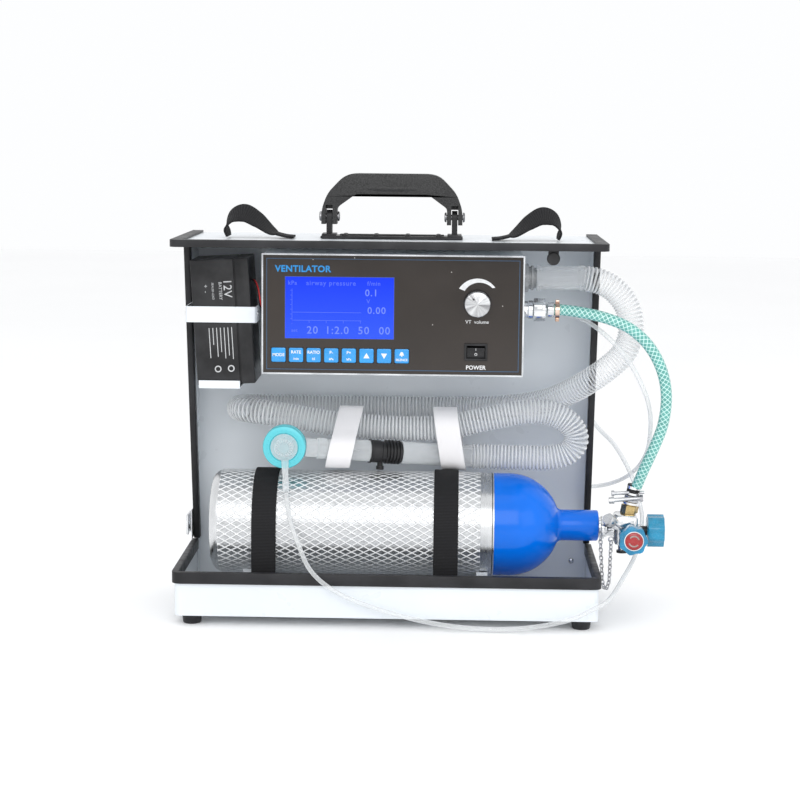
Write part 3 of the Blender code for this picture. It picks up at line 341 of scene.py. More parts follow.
def plate(bm, points, y, depth, mat=0):
    """A flat outline of (x, z) points facing -Y, given a thickness."""
    face = bm.faces.new([bm.verts.new((x, y, z)) for x, z in points])
    return thickened(bm, [face], depth, mat)


def tick(bm, x0, x1, z0, z1, y):
    """A thin printed bar."""
    plate(bm, [(x0, z0), (x1, z0), (x1, z1), (x0, z1)], y, INK_DEPTH, 1)


def softened(points, reach):
    """An open outline with its corners rounded over that reach."""
    found = [points[0]]
    for before, corner, after in zip(points, points[1:], points[2:]):
        before, corner, after = Vector(before), Vector(corner), Vector(after)
        near = (before - corner) * min(0.5, reach / (before - corner).length)
        far = (after - corner) * min(0.5, reach / (after - corner).length)
        for i in range(5):
            t = i / 4
            found.append(tuple(corner + near * (1 - t) ** 2 + far * t * t))
    return found + [points[-1]]


def words(bm, text, size, x, z, y, mat=0, matrix=None, bold=0.0, spread=1.0):
    """Raised lettering that faces -Y, its middle at (x, z)."""
    curve = bpy.data.curves.new("letters", "FONT")
    curve.body = text
    curve.size = size
    curve.align_x = "CENTER"
    curve.offset = bold
    curve.space_character = spread
    curve.align_y = "CENTER"
    curve.extrude = INK / 2
    curve.resolution_u = 3
    holder = bpy.data.objects.new("letters", curve)
    bpy.context.scene.collection.objects.link(holder)
    bpy.context.view_layer.update()
    deps = bpy.context.evaluated_depsgraph_get()
    mesh = bpy.data.meshes.new_from_object(holder.evaluated_get(deps))
    before = set(bm.verts)
    bm.from_mesh(mesh)
    fresh = [v for v in bm.verts if v not in before]
    bmesh.ops.remove_doubles(bm, verts=fresh, dist=0.0000005)
    fresh = [v for v in bm.verts if v not in before]
    coloured(faces_of(fresh), mat)
    upright = Matrix.Rotation(math.pi / 2, 4, "X")
    where = matrix or Matrix.Translation(at(x, y, z))
    shift(bm, fresh, where @ upright)
    bpy.data.objects.remove(holder)
    bpy.data.curves.remove(curve)
    bpy.data.meshes.remove(mesh)


def smooth_route(points, spacing):
    """Evenly spaced places on the smooth curve through a route's own points."""
    knots = [CASE + Vector(p) for p in points]
    knots = [2 * knots[0] - knots[1], *knots, 2 * knots[-1] - knots[-2]]
    fine = []
    for a, b, c, d in zip(knots, knots[1:], knots[2:], knots[3:]):
        for i in range(16):
            t = i / 16
            fine.append(0.5 * (2 * b + (c - a) * t + (2 * a - 5 * b + 4 * c - d) * t * t
                               + (3 * b - a - 3 * c + d) * t ** 3))
    fine.append(knots[-2])
    along = [0.0]
    for a, b in zip(fine, fine[1:]):
        along.append(along[-1] + (b - a).length)
    count = max(2, round(along[-1] / spacing))
    even, place = [], 0
    for i in range(count + 1):
        goal = along[-1] * i / count
        while place < len(fine) - 2 and along[place + 1] < goal:
            place += 1
        share = (goal - along[place]) / (along[place + 1] - along[place])
        even.append(fine[place].lerp(fine[place + 1], min(1.0, share)))
    return even


def run_length(line):
    return sum((b - a).length for a, b in zip(line, line[1:]))


def sweep(bm, line, section, scale=None, side=None, closed=False, mat=0):
    """A closed section of (across, up) points carried along a line, with a UV map in metres.

    scale gives each ring's size from the distance run. side gives its across direction from the
    share of the line; without it the section turns as little as it can.
    """
    uv = bm.loops.layers.uv.verify()
    tangents = []
    count = len(line)
    for i in range(count):
        if closed:
            run = line[(i + 1) % count] - line[i - 1]
        else:
            run = line[min(i + 1, count - 1)] - line[max(i - 1, 0)]
        tangents.append(run.normalized())
    across = tangents[0].orthogonal().normalized()
    rings, far = [], [0.0]
    for i, (here, run) in enumerate(zip(line, tangents)):
        if side is not None:
            across = Vector(side(i / (count - 1)))
        across = (across - run * across.dot(run)).normalized()
        up = run.cross(across)
        grow = scale(far[-1]) if scale else 1.0
        rings.append([bm.verts.new(here + (across * a + up * b) * grow) for a, b in section])
        if i < count - 1:
            far.append(far[-1] + (line[i + 1] - here).length)
    size = len(section)
    edge = [0.0]
    for i in range(size):
        a, b = Vector(section[i]), Vector(section[(i + 1) % size])
        edge.append(edge[-1] + (b - a).length)
    pairs = list(zip(range(count), range(1, count)))
    if closed:
        pairs.append((count - 1, 0))
    for i, j in pairs:
        for k in range(size):
            m = (k + 1) % size
            face = bm.faces.new((rings[i][k], rings[i][m], rings[j][m], rings[j][k]))
            face.material_index = mat
            ends = (far[i], far[j] if j else far[i] + 0.001)
            for loop, (u, v) in zip(face.loops, ((edge[k], ends[0]), (edge[k + 1], ends[0]),
                                                 (edge[k + 1], ends[1]), (edge[k], ends[1]))):
                loop[uv].uv = (u, v)
    if not closed:
        for ring in (rings[0][::-1], rings[-1]):
            bm.faces.new(ring).material_index = mat
    return rings


def ring_section(radius, sides):
    return [(radius * math.cos(2 * math.pi * i / sides), radius * math.sin(2 * math.pi * i / sides))
            for i in range(sides)]


def band_section(width, thickness):
    """A strap's section: flat, with rounded edges."""
    w, t = width / 2, thickness / 2
    half = [(w - t, -t), (w - 0.3 * t, -0.7 * t), (w, 0), (w - 0.3 * t, 0.7 * t), (w - t, t)]
    middle = [(w * s, t) for s in (0.5, 0.0, -0.5)]
    other = [(-a, -b) for a, b in half]
    return half + middle + other + [(-a, -b) for a, b in middle]


def arc(x, y, radius, start, end, steps):
    """Points on an arc, angles in degrees."""
    turns = [math.radians(start + (end - start) * i / steps) for i in range(steps + 1)]
    return [(x + radius * math.cos(a), y + radius * math.sin(a)) for a in turns]


# ---------------------------------------------------------------- finishes
class Finish:
    """A material under construction."""

    def __init__(self, name, colour, roughness=0.5, metallic=0.0, coords="Object", **sockets):
        self.mat = bpy.data.materials.new(name)
        self.mat.use_nodes = True
        self.nodes = self.mat.node_tree.nodes
        self.links = self.mat.node_tree.links
        self.skin = self.nodes["Principled BSDF"]
        self.skin.inputs["Base Color"].default_value = (*colour, 1.0)
        self.skin.inputs["Roughness"].default_value = roughness
        self.skin.inputs["Metallic"].default_value = metallic
        for socket, value in sockets.items():
            self.skin.inputs[socket.replace("_", " ")].default_value = value
        self.where = self.add("ShaderNodeTexCoord").outputs[coords]
        self.height = None

    def add(self, kind, **settings):
        node = self.nodes.new(kind)
        for key, value in settings.items():
            setattr(node, key, value)
        return node

    def feed(self, node, **inputs):
        """Sets or links a node's inputs by name."""
        for key, value in inputs.items():
            socket = node.inputs[int(key[1:])] if key[0] == "_" else node.inputs[key]
            if isinstance(value, bpy.types.NodeSocket):
                self.links.new(value, socket)
            else:
                socket.default_value = value
        return node

    def math(self, how, a, b=0.0):
        return self.feed(self.add("ShaderNodeMath", operation=how), _0=a, _1=b).outputs[0]

    def split(self):
        node = self.feed(self.add("ShaderNodeSeparateXYZ"), Vector=self.where)
        return node.outputs[0], node.outputs[1], node.outputs[2]

    def noise(self, scale, detail=2.0, stretch=None):
        vector = self.where
        if stretch:
            vector = self.feed(self.add("ShaderNodeMapping"), Vector=vector,
                               Scale=stretch).outputs[0]
        node = self.feed(self.add("ShaderNodeTexNoise"), Vector=vector, Scale=scale, Detail=detail)
        return node.outputs[0]

    def span(self, value, low, high, out_low=0.0, out_high=1.0):
        node = self.feed(self.add("ShaderNodeMapRange"), Value=value)
        for socket, number in (("From Min", low), ("From Max", high), ("To Min", out_low),
                               ("To Max", out_high)):
            node.inputs[socket].default_value = number
        return node.outputs[0]

    def mix(self, share, first, second):
        node = self.add("ShaderNodeMix", data_type="RGBA")
        ends = {}
        for key, value in (("_6", first), ("_7", second)):
            ends[key] = value if isinstance(value, bpy.types.NodeSocket) else (*value, 1.0)
        self.feed(node, _0=share, **ends)
        return node.outputs[2]

    def colour(self, source):
        self.links.new(source, self.skin.inputs["Base Color"])

    def rough(self, source):
        self.links.new(source, self.skin.inputs["Roughness"])

    def bump(self, height, strength=0.3, distance=0.0002):
        node = self.feed(self.add("ShaderNodeBump"), Height=height, Strength=strength,
                         Distance=distance)
        if self.height is not None:
            self.links.new(self.height, node.inputs["Normal"])
        self.height = node.outputs[0]
        self.links.new(self.height, self.skin.inputs["Normal"])


def made(name):
    return bpy.data.materials.get(name)


def plain(name, dark, light, rough, patch=30.0, grain=2600.0, bump=0.15, depth=0.00008,
          metallic=0.0, stretch=None, coords="Object", **sockets):
    """A finish with soft colour patches, uneven gloss and a fine grain."""
    if made(name):
        return made(name)
    f = Finish(name, light, rough[0], metallic, coords, **sockets)
    cloud = f.noise(patch, 3.0)
    f.colour(f.mix(f.span(cloud, 0.35, 0.65), dark, light))
    f.rough(f.span(f.noise(patch * 6, 2.0, stretch), 0.3, 0.7, *rough))
    f.bump(f.noise(grain, 2.0, stretch), bump, depth)
    return f.mat


def shades(colour, low=0.88, high=1.04):
    """A darker and a lighter shade of a colour."""
    return tuple(c * low for c in colour), tuple(min(1.0, c * high) for c in colour)


def case_paint():
    dark, light = shades(bpy.context.scene.ventilator_case.paint, 0.965, 1.02)
    return plain("case_powder_coat", dark, light, (0.26, 0.38), patch=7.0, grain=1500.0, bump=0.10,
                 depth=0.00006, Coat_Weight=0.25, Coat_Roughness=0.15)


def trim_rubber():
    dark, light = shades(bpy.context.scene.ventilator_case.rubber, 0.7, 1.5)
    return plain("trim_rubber", dark, light, (0.38, 0.55), patch=22.0, grain=1900.0, bump=0.25,
                 Specular_IOR_Level=0.28)


def black_plastic():
    return plain("black_moulding", (0.010, 0.010, 0.011), (0.026, 0.026, 0.028), (0.30, 0.44),
                 patch=40.0, grain=3200.0, bump=0.30, depth=0.00006, Specular_IOR_Level=0.30)


def grip_leatherette():
    if made("grip_leatherette"):
        return made("grip_leatherette")
    f = Finish("grip_leatherette", (0.018, 0.018, 0.019), 0.36, Specular_IOR_Level=0.42)
    cells = f.feed(f.add("ShaderNodeTexVoronoi", feature="DISTANCE_TO_EDGE"), Vector=f.where,
                   Scale=620.0)
    crease = f.span(cells.outputs[0], 0.0, 0.22)
    # Colour darker in the grain's creases: painted shade.
    f.colour(f.mix(crease, (0.006, 0.006, 0.006), (0.030, 0.030, 0.031)))
    f.rough(f.span(crease, 0.0, 1.0, 0.58, 0.34))
    f.bump(crease, 0.45, 0.00015)
    return f.mat


def chrome():
    return plain("bright_chrome", (0.62, 0.63, 0.65), (0.86, 0.87, 0.88), (0.08, 0.20), patch=60.0,
                 grain=900.0, bump=0.08, depth=0.00004, metallic=1.0)


def brushed(name="brushed_steel", along=(1, 1, 14), dark=(0.40, 0.40, 0.42),
            light=(0.66, 0.67, 0.68)):
    return plain(name, dark, light, (0.22, 0.36), patch=40.0, grain=900.0, bump=0.2,
                 depth=0.00004, metallic=1.0, stretch=along)


def brass():
    return plain("aged_brass", (0.32, 0.22, 0.09), (0.62, 0.47, 0.22), (0.2, 0.4), patch=90.0,
                 grain=1500.0, bump=0.2, metallic=1.0)


def copper():
    return plain("clamp_copper", (0.45, 0.30, 0.22), (0.80, 0.62, 0.52), (0.15, 0.3), patch=90.0,
                 grain=1500.0, bump=0.15, metallic=1.0)


def ink(name, colour, glow=0.0):
    dark, light = shades(colour, 0.86, 1.0)
    extra = {"Emission_Color": (*colour, 1.0), "Emission_Strength": glow} if glow else {}
    return plain(name, dark, light, (0.35, 0.5), patch=300.0, grain=6000.0, bump=0.1,
                 depth=0.00002, **extra)


def panel_film():
    """Glossy film over the panel plate, with a scatter of dust."""
    if made("panel_film"):
        return made("panel_film")
    film = tuple(bpy.context.scene.ventilator_unit.film)
    f = Finish("panel_film", film, 0.16, Specular_IOR_Level=0.35, Coat_Weight=0.15,
               Coat_Roughness=0.05)
    dots = f.feed(f.add("ShaderNodeTexVoronoi"), Vector=f.where, Scale=75.0)
    pick = f.noise(31.0, 0.0)
    dust = f.math("MULTIPLY", f.math("LESS_THAN", dots.outputs["Distance"], 0.045),
                  f.math("GREATER_THAN", pick, 0.50))
    base = f.mix(f.span(f.noise(9.0, 2.0), 0.3, 0.7), film, tuple(c * 1.5 for c in film))
    f.colour(f.mix(dust, base, (0.45, 0.43, 0.40)))
    f.rough(f.span(f.noise(40.0, 3.0), 0.3, 0.7, 0.12, 0.22))
    f.bump(f.noise(160.0, 1.0), 0.04, 0.0001)
    return f.mat


def screen_glass():
    """Backlit blue screen, a little brighter at its lower edge, with fine cell lines."""
    if made("screen_glass"):
        return made("screen_glass")
    settings = bpy.context.scene.ventilator_unit
    tint = tuple(settings.screen)
    f = Finish("screen_glass", tint, 0.12, Emission_Strength=settings.glow,
               Specular_IOR_Level=0.2)
    x, _, z = f.split()
    rise = f.span(z, CASE.z + LCD_LOW.z, CASE.z + LCD_HIGH.z, 1.0, 0.0)
    cell = f.math("GREATER_THAN", f.math("FRACT", f.math("MULTIPLY", x, 1400.0)), 0.16)
    glow = f.mix(rise, tuple(c * 0.92 for c in tint), (0.020, 0.065, 0.80))
    glow = f.mix(cell, tuple(c * 0.78 for c in tint), glow)
    f.colour(glow)
    f.links.new(glow, f.skin.inputs["Emission Color"])
    f.bump(f.noise(90.0, 1.0), 0.02, 0.0001)
    return f.mat


def webbing(name="black_webbing", rib=0.0022):
    """Woven strap: ribs across, with the weave's diagonal threads between them; its colour is
    darker in the weave's hollows and lighter on its crests, as painted shade and painted highlight.
    """
    if made(name):
        return made(name)
    tint = tuple(bpy.context.scene.ventilator_case.webbing)
    f = Finish(name, tint, 0.78, coords="UV", Specular_IOR_Level=0.15)
    u, v, _ = f.split()
    ribs = f.math("SINE", f.math("MULTIPLY", v, 2 * math.pi / rib))
    threads = f.math("SINE", f.math("MULTIPLY", f.math("ADD", u, v), 2 * math.pi / 0.0011))
    other = f.math("SINE", f.math("MULTIPLY", f.math("SUBTRACT", u, v), 2 * math.pi / 0.0011))
    weave = f.math("MAXIMUM", threads, other)
    tall = f.math("ADD", f.math("MULTIPLY", ribs, 0.6), f.math("MULTIPLY", weave, 0.4))
    dark, light = shades(tint, 0.55, 1.9)
    # Darker in the hollows and lighter on the crests: painted shade and painted highlight.
    f.colour(f.mix(f.span(tall, -0.8, 0.9), dark, light))
    f.rough(f.span(weave, -1.0, 1.0, 0.88, 0.68))
    f.bump(tall, 0.6, 0.00025)
    return f.mat


def felt():
    """White hook-and-loop tape: a soft nap."""
    if made("white_tape"):
        return made("white_tape")
    f = Finish("white_tape", (0.80, 0.79, 0.80), 0.85, coords="UV", Sheen_Weight=0.3)
    nap = f.noise(1500.0, 4.0)
    f.colour(f.mix(f.span(nap, 0.35, 0.65), (0.68, 0.67, 0.69), (0.86, 0.85, 0.86)))
    f.bump(nap, 0.5, 0.0003)
    return f.mat


def clear_plastic(name, tint, low, high, ribs=None):
    """Clear flexible plastic: seen through face on, milky where it curves away and on its ribs, and
    darker in the valleys between the ribs, which is painted shade.
    """
    if made(name):
        return made(name)
    f = Finish(name, tint, 0.10, coords="UV", IOR=1.45, Coat_Weight=0.6, Coat_Roughness=0.05)
    rim = f.feed(f.add("ShaderNodeLayerWeight"), Blend=0.42).outputs["Facing"]
    haze = f.span(f.noise(60.0, 2.0), 0.3, 0.7, -0.02, 0.03)
    clear = f.math("ADD", f.span(rim, 0.0, 1.0, low, high), haze)
    tone = f.mix(f.span(f.noise(25.0, 2.0), 0.3, 0.7), tuple(c * 0.93 for c in tint), tint)
    if ribs:
        first, last, pitch = ribs
        far = f.split()[1]
        crest = f.math("COSINE", f.math("MULTIPLY", f.math("SUBTRACT", far, first),
                                        2 * math.pi / pitch))
        ribbed = f.math("MULTIPLY", f.math("GREATER_THAN", far, first),
                        f.math("LESS_THAN", far, last))
        crest = f.math("MULTIPLY", crest, ribbed)
        clear = f.math("ADD", clear, f.math("MULTIPLY", crest, 0.26))
        # Colour darker in the valleys between the ribs: painted shade.
        tone = f.mix(f.span(crest, -1.0, 0.6), tuple(c * 0.52 for c in tint), tone)
    f.links.new(clear, f.skin.inputs["Alpha"])
    f.colour(tone)
    f.bump(f.noise(160.0, 1.0), 0.02, 0.0001)
    return f.mat


def braided_hose():
    """Green clear hose with two crossing layers of white thread in its wall."""
    if made("oxygen_braid"):
        return made("oxygen_braid")
    tint = tuple(bpy.context.scene.ventilator_circuit.oxygen)
    f = Finish("oxygen_braid", tint, 0.22, coords="UV", Coat_Weight=0.7, Coat_Roughness=0.08)
    u, v, _ = f.split()
    turn, pitch = 6 / (math.pi * OXYGEN_D), 1 / 0.0054
    lines = []
    for how in ("ADD", "SUBTRACT"):
        way = f.math(how, f.math("MULTIPLY", u, turn), f.math("MULTIPLY", v, pitch))
        lines.append(f.math("LESS_THAN", f.math("FRACT", way), 0.24))
    thread = f.math("MAXIMUM", *lines)
    crossing = f.math("MULTIPLY", *lines)
    body = f.mix(f.span(f.noise(60.0, 2.0), 0.3, 0.7), tuple(c * 0.72 for c in tint), tint)
    lit = f.mix(thread, body, (0.42, 0.70, 0.65))
    f.colour(f.mix(crossing, lit, (0.58, 0.82, 0.78)))
    f.bump(thread, 0.12, 0.0001)
    return f.mat


def net_sleeve():
    """Plastic net stretched over bare metal: white diagonal strands, aluminium between them."""
    if made("net_sleeve"):
        return made("net_sleeve")
    settings = bpy.context.scene.ventilator_cylinder
    f = Finish("net_sleeve", (0.8, 0.8, 0.8), 0.3, coords="UV")
    u, v, _ = f.split()
    wave = f.span(f.noise(14.0, 1.0), 0.0, 1.0, -0.16, 0.16)
    strands = []
    for how in ("ADD", "SUBTRACT"):
        way = f.math(how, f.math("MULTIPLY", u, float(settings.mesh_round)),
                     f.math("DIVIDE", v, settings.mesh_long))
        way = f.math("ADD", way, wave)
        off = f.math("ABSOLUTE", f.math("SUBTRACT", f.math("FRACT", way), 0.5))
        strands.append(f.span(off, 0.06, 0.13, 1.0, 0.0))
    strand = f.math("MAXIMUM", *strands)
    metal = f.mix(f.span(f.noise(220.0, 3.0), 0.3, 0.7), (0.42, 0.43, 0.44), (0.66, 0.67, 0.68))
    f.colour(f.mix(strand, metal, (0.86, 0.87, 0.88)))
    f.links.new(f.span(strand, 0.0, 1.0, 0.95, 0.0), f.skin.inputs["Metallic"])
    f.rough(f.span(strand, 0.0, 1.0, 0.28, 0.45))
    f.bump(strand, 0.8, 0.0006)
    return f.mat


def cylinder_metal():
    return plain("cylinder_aluminium", (0.52, 0.53, 0.54), (0.74, 0.75, 0.76), (0.22, 0.34),
                 patch=20.0, grain=700.0, bump=0.12, metallic=1.0, stretch=(14, 1, 1))


def dome_paint():
    dark, light = shades(bpy.context.scene.ventilator_cylinder.paint, 0.86, 1.0)
    return plain("dome_paint", dark, light, (0.16, 0.24), patch=14.0, grain=420.0, bump=0.06,
                 depth=0.0001, Specular_IOR_Level=0.2, Coat_Weight=0.2, Coat_Roughness=0.05)


def wheel_plastic(name="wheel_moulding", colour=None):
    tint = colour or tuple(bpy.context.scene.ventilator_cylinder.wheel)
    dark, light = shades(tint, 0.8, 1.1)
    return plain(name, dark, light, (0.20, 0.32), patch=70.0, grain=2400.0, bump=0.12,
                 Coat_Weight=0.5, Coat_Roughness=0.1)


# ---------------------------------------------------------------- operators
class VENTILATOR_OT_stage(bpy.types.Operator):
    """Camera, soft lights and the plain floor"""
    bl_idname = "ventilator.stage"
    bl_label = "Stage"

    def execute(self, context):
        scene = context.scene
        scene.view_settings.view_transform = "Standard"
        bm = bmesh.new()
        bmesh.ops.create_grid(bm, x_segments=2, y_segments=2, size=6.0)
        mesh = bpy.data.meshes.new("floor")
        bm.to_mesh(mesh)
        bm.free()
        mesh.materials.append(plain("floor_card", (0.965, 0.965, 0.968), (0.98, 0.98, 0.982),
                                    (0.55, 0.7), patch=1.5, grain=300.0, bump=0.05))
        floor = bpy.data.objects.new("floor", mesh)
        scene.collection.objects.link(floor)

        world = bpy.data.worlds.new("studio")
        world.use_nodes = True
        sky = world.node_tree.nodes["Background"]
        sky.inputs["Color"].default_value = (0.985, 0.992, 1.0, 1.0)
        sky.inputs["Strength"].default_value = 1.0
        scene.world = world
        for name, place, size, power in (("key", (-1.1, -1.9, 1.7), 1.4, 9.0),
                                         ("fill", (1.5, -1.5, 0.9), 1.2, 4.0),
                                         ("front", (0.3, -2.6, 1.4), 1.6, 18.0),
                                         ("top", (0.1, -0.1, 2.0), 1.6, 3.0)):
            data = bpy.data.lights.new(name, "AREA")
            data.shape = "SQUARE"
            data.size = size
            data.energy = power
            lamp = bpy.data.objects.new(name, data)
            lamp.location = place
            lamp.rotation_euler = (Vector((0, 0, 0.2)) - Vector(place)).to_track_quat(
                "-Z", "Y").to_euler()
            scene.collection.objects.link(lamp)

        data = bpy.data.cameras.new("camera")
        data.sensor_width = 36.0
        data.lens = 88.4
        camera = bpy.data.objects.new("camera", data)
        turn = Matrix.Rotation(math.radians(1.46), 4, "Z")
        pitch = Matrix.Rotation(math.radians(90 - 7.96), 4, "X")
        roll = Matrix.Rotation(math.radians(0.55), 4, "Z")
        camera.matrix_world = Matrix.Translation(at(0.0642, -2.0092, 0.5243)) @ turn @ pitch @ roll
        scene.collection.objects.link(camera)
        scene.camera = camera
        return {"FINISHED"}


class VENTILATOR_OT_hoses(bpy.types.Operator):
    """Breathing hose, oxygen hose and control tube, built with what hangs on them"""
    bl_idname = "ventilator.hoses"
    bl_label = "Hoses"

    def execute(self, context):
        settings = context.scene.ventilator_circuit
        pitch, depth = settings.rib_pitch, settings.rib_depth
        outer, cuff = HOSE_D / 2, 0.0126
        line = smooth_route(BREATHING_ROUTE, pitch / 5)
        total = run_length(line)
        start, end = 0.0530, total - 0.0240
        clear = clear_plastic("hose_clear", (0.88, 0.90, 0.92), 0.20, 0.84,
                              ribs=(start, end, pitch))

        def radius(far):
            if far < start:
                lip = 0.0010 if far < 0.004 or 0.046 < far < 0.050 else 0.0
                return (cuff + lip) / outer
            if far > end:
                return (cuff + (0.0008 if far > total - 0.004 else 0.0)) / outer
            phase = (far - start) / pitch * 2 * math.pi
            return 1 - depth / outer * (0.5 - 0.5 * math.cos(phase)) ** 1.4

        bm = bmesh.new()
        sweep(bm, line, ring_section(outer, 22), scale=radius)
        hose = finished(bm, "breathing_hose_ribbed", [clear], angle=60,
                        instead=("breathing_hose",))

        bm = bmesh.new()
        oxygen = smooth_route(OXYGEN_ROUTE, 0.004)
        sweep(bm, oxygen, ring_section(OXYGEN_D / 2, 28))
        green = finished(bm, "oxygen_hose_braided", [braided_hose()], angle=60,
                         instead=("oxygen_hose",))

        bm = bmesh.new()
        tube = smooth_route(TUBE_ROUTE, 0.005)
        sweep(bm, tube, ring_section(TUBE_D / 2, 14))
        thin = finished(bm, "control_tube_clear",
                        [clear_plastic("tube_clear", (0.80, 0.82, 0.83), 0.32, 0.95)], angle=60,
                        instead=("control_tube",))

        on_hose = patient_end()
        return {"FINISHED"}


def along_patient(distance):
    return PATIENT_START + PATIENT_RUN * distance


def patient_end():
    """Clear cuffs, the black connector and the exhalation valve, as a list of pieces."""
    clear = clear_plastic("cuff_clear", (0.82, 0.85, 0.87), 0.30, 0.95)
    black = black_plastic()
    bm = bmesh.new()
    wall = [(0.0, 0.0003), (0.0124, 0.0003), (0.0128, 0.0030), (0.0122, 0.0045),
            (0.0118, 0.0300), (0.0122, 0.0500), (0.0122, 0.0566), (0.0, 0.0566)]
    turned(bm, wall, PATIENT_START, PATIENT_RUN)
    wall = [(0.0, 0.0924), (0.0116, 0.0924), (0.0116, 0.1080), (0.0108, 0.1100),
            (0.0106, 0.1230), (0.0120, 0.1240), (0.0120, 0.1290), (0.0106, 0.1300),
            (0.0100, 0.1400), (0.0112, 0.1410), (0.0112, 0.1500), (0.0100, 0.1510),
            (0.0100, 0.1640), (0.0, 0.1640)]
    turned(bm, wall, PATIENT_START, PATIENT_RUN)
    cuffs = finished(bm, "patient_cuffs", [clear])

    bm = bmesh.new()
    ribs = [(0.0, 0.0567), (0.0112, 0.0567)]
    first, pitch = 0.0580, 0.0036
    for i in range(5):
        here = first + i * pitch
        ribs += [(0.0112, here), (0.0130, here + 0.0006), (0.0130, here + 0.0020),
                 (0.0112, here + 0.0026)]
    ribs += [(0.0112, 0.0790), (0.0122, 0.0800), (0.0122, 0.0900), (0.0130, 0.0905),
             (0.0130, 0.0922), (0.0, 0.0922)]
    turned(bm, ribs, PATIENT_START, PATIENT_RUN)
    side = along_patient(0.0800)
    rod(bm, side + Vector((0, 0, -0.0105)), side + Vector((0, 0, -0.0175)), 0.0030)
    rod(bm, side + Vector((0, 0, -0.0160)), side + Vector((0, 0, -0.0195)), 0.0042)
    connector = finished(bm, "patient_connector_ribbed", [black], instead=("patient_connector",))

    dark, light = shades(tuple(bpy.context.scene.ventilator_circuit.teal), 0.85, 1.05)
    teal = plain("valve_teal", dark, light, (0.18, 0.28), patch=60.0, grain=2200.0, bump=0.1,
                 Subsurface_Weight=0.15, Coat_Weight=0.5, Coat_Roughness=0.1)
    bm = bmesh.new()
    shell = [(0.0, 0.0070), (0.0150, 0.0070), (0.0160, 0.0086), (0.0205, 0.0086),
             (0.0222, 0.0078), (0.0230, 0.0055), (0.0230, 0.0010), (0.0223, 0.0004),
             (0.0223, -0.0010), (0.0230, -0.0016), (0.0230, -0.0070), (0.0215, -0.0098),
             (0.0, -0.0098)]
    turned(bm, shell, VALVE_AT, (0, -1, 0), steps=96)
    for i in range(24):
        angle = 2 * math.pi * (i + 0.5) / 24
        out = Vector((math.cos(angle), 0, math.sin(angle)))
        place = VALVE_AT + out * 0.0182 + Vector((0, -0.0084, 0))
        rod(bm, place, place + Vector((0, -0.0012, 0)), 0.0009, sides=10)
    valve = finished(bm, "exhalation_valve_shell", [teal], instead=("exhalation_valve",))

    bm = bmesh.new()
    cap = [(0.0, 0.0124), (0.0052, 0.0124), (0.0058, 0.0118), (0.0058, 0.0110), (0.0090, 0.0110),
           (0.0098, 0.0102), (0.0104, 0.0090), (0.0140, 0.0086), (0.0146, 0.0072), (0.0, 0.0072)]
    turned(bm, cap, VALVE_AT, (0, -1, 0), steps=64)
    for i in range(20):
        angle = 2 * math.pi * i / 20
        out = Vector((math.cos(angle), 0, math.sin(angle)))
        start = VALVE_AT + out * 0.0060 + Vector((0, -0.0110, 0))
        rod(bm, start, start + out * 0.0034, 0.0005, sides=6)
    foot, tip = Vector((-0.1100, 0.0470, 0.1700)), Vector((-0.10775, 0.0336, 0.1382))
    rod(bm, foot, foot.lerp(tip, 0.62), 0.0040, 0.0030, sides=24)
    rod(bm, foot.lerp(tip, 0.60), tip, 0.0036, 0.0034, sides=24)
    cap_piece = finished(bm, "exhalation_valve_cap", [clear])
    return [cuffs, connector, valve, cap_piece]


class VENTILATOR_OT_case(bpy.types.Operator):
    """Painted sheets, rubber trims, feet, latch and screws"""
    bl_idname = "ventilator.case"
    bl_label = "Case"

    def execute(self, context):
        paint, rubber = case_paint(), trim_rubber()
        for node in ("base_tray", "back_shell", "top_plate", "cylinder_cradle"):
            recast(node, [paint])
        for node in ("trim_top", "trim_tray", "trim_left", "trim_right"):
            recast(node, [rubber])
        for i in range(1, 5):
            low, high = corners(f"foot_{i}")
            middle = ((low.x + high.x) / 2, (low.y + high.y) / 2, 0)
            bm = bmesh.new()
            profile = [(0.0, high.z), (0.0110, high.z), (0.0110, 0.0074), (0.0104, 0.0070),
                       (0.0096, 0.0012), (0.0088, 0.0), (0.0050, 0.0), (0.0044, 0.0010),
                       (0.0, 0.0010)]
            turned(bm, profile, middle, (0, 0, 1), steps=48)
            finished(bm, f"foot_{i}_rubber", [rubber], instead=(f"foot_{i}",))
        recast("latch_base", [chrome()])
        recast("latch_lever", [chrome()], body="latch_flap")
        bm = bmesh.new()
        for x, z in ((0.205, 0.034), (-0.205, 0.034)):
            pan_head(bm, (x, 0.1905, z), (0, -1, 0), 0.0034)
        for x in (-0.19, 0.0, 0.19):
            pan_head(bm, (x, 0.1940, 0.3910), (0, 1, 0), 0.0030)
        for x in (-0.19, 0.19):
            for z in (0.024, 0.046):
                pan_head(bm, (x, 0.1938, z), (0, 1, 0), 0.0030)
        for z in (0.0625, 0.0885):
            pan_head(bm, (-0.2262, 0.1880, z), (-1, 0, 0), 0.0020)
        finished(bm, "case_screws", [chrome()])
        return {"FINISHED"}


def pan_head(bm, foot, way, radius):
    """A domed screw head with a dished middle."""
    height = radius * 0.62
    profile = [(0.0, height * 0.55), (radius * 0.22, height * 0.55), (radius * 0.30, height),
               (radius * 0.62, height * 0.92), (radius * 0.92, height * 0.50),
               (radius, height * 0.08), (radius, -0.0004), (0.0, -0.0004)]
    turned(bm, profile, foot, way, steps=24)


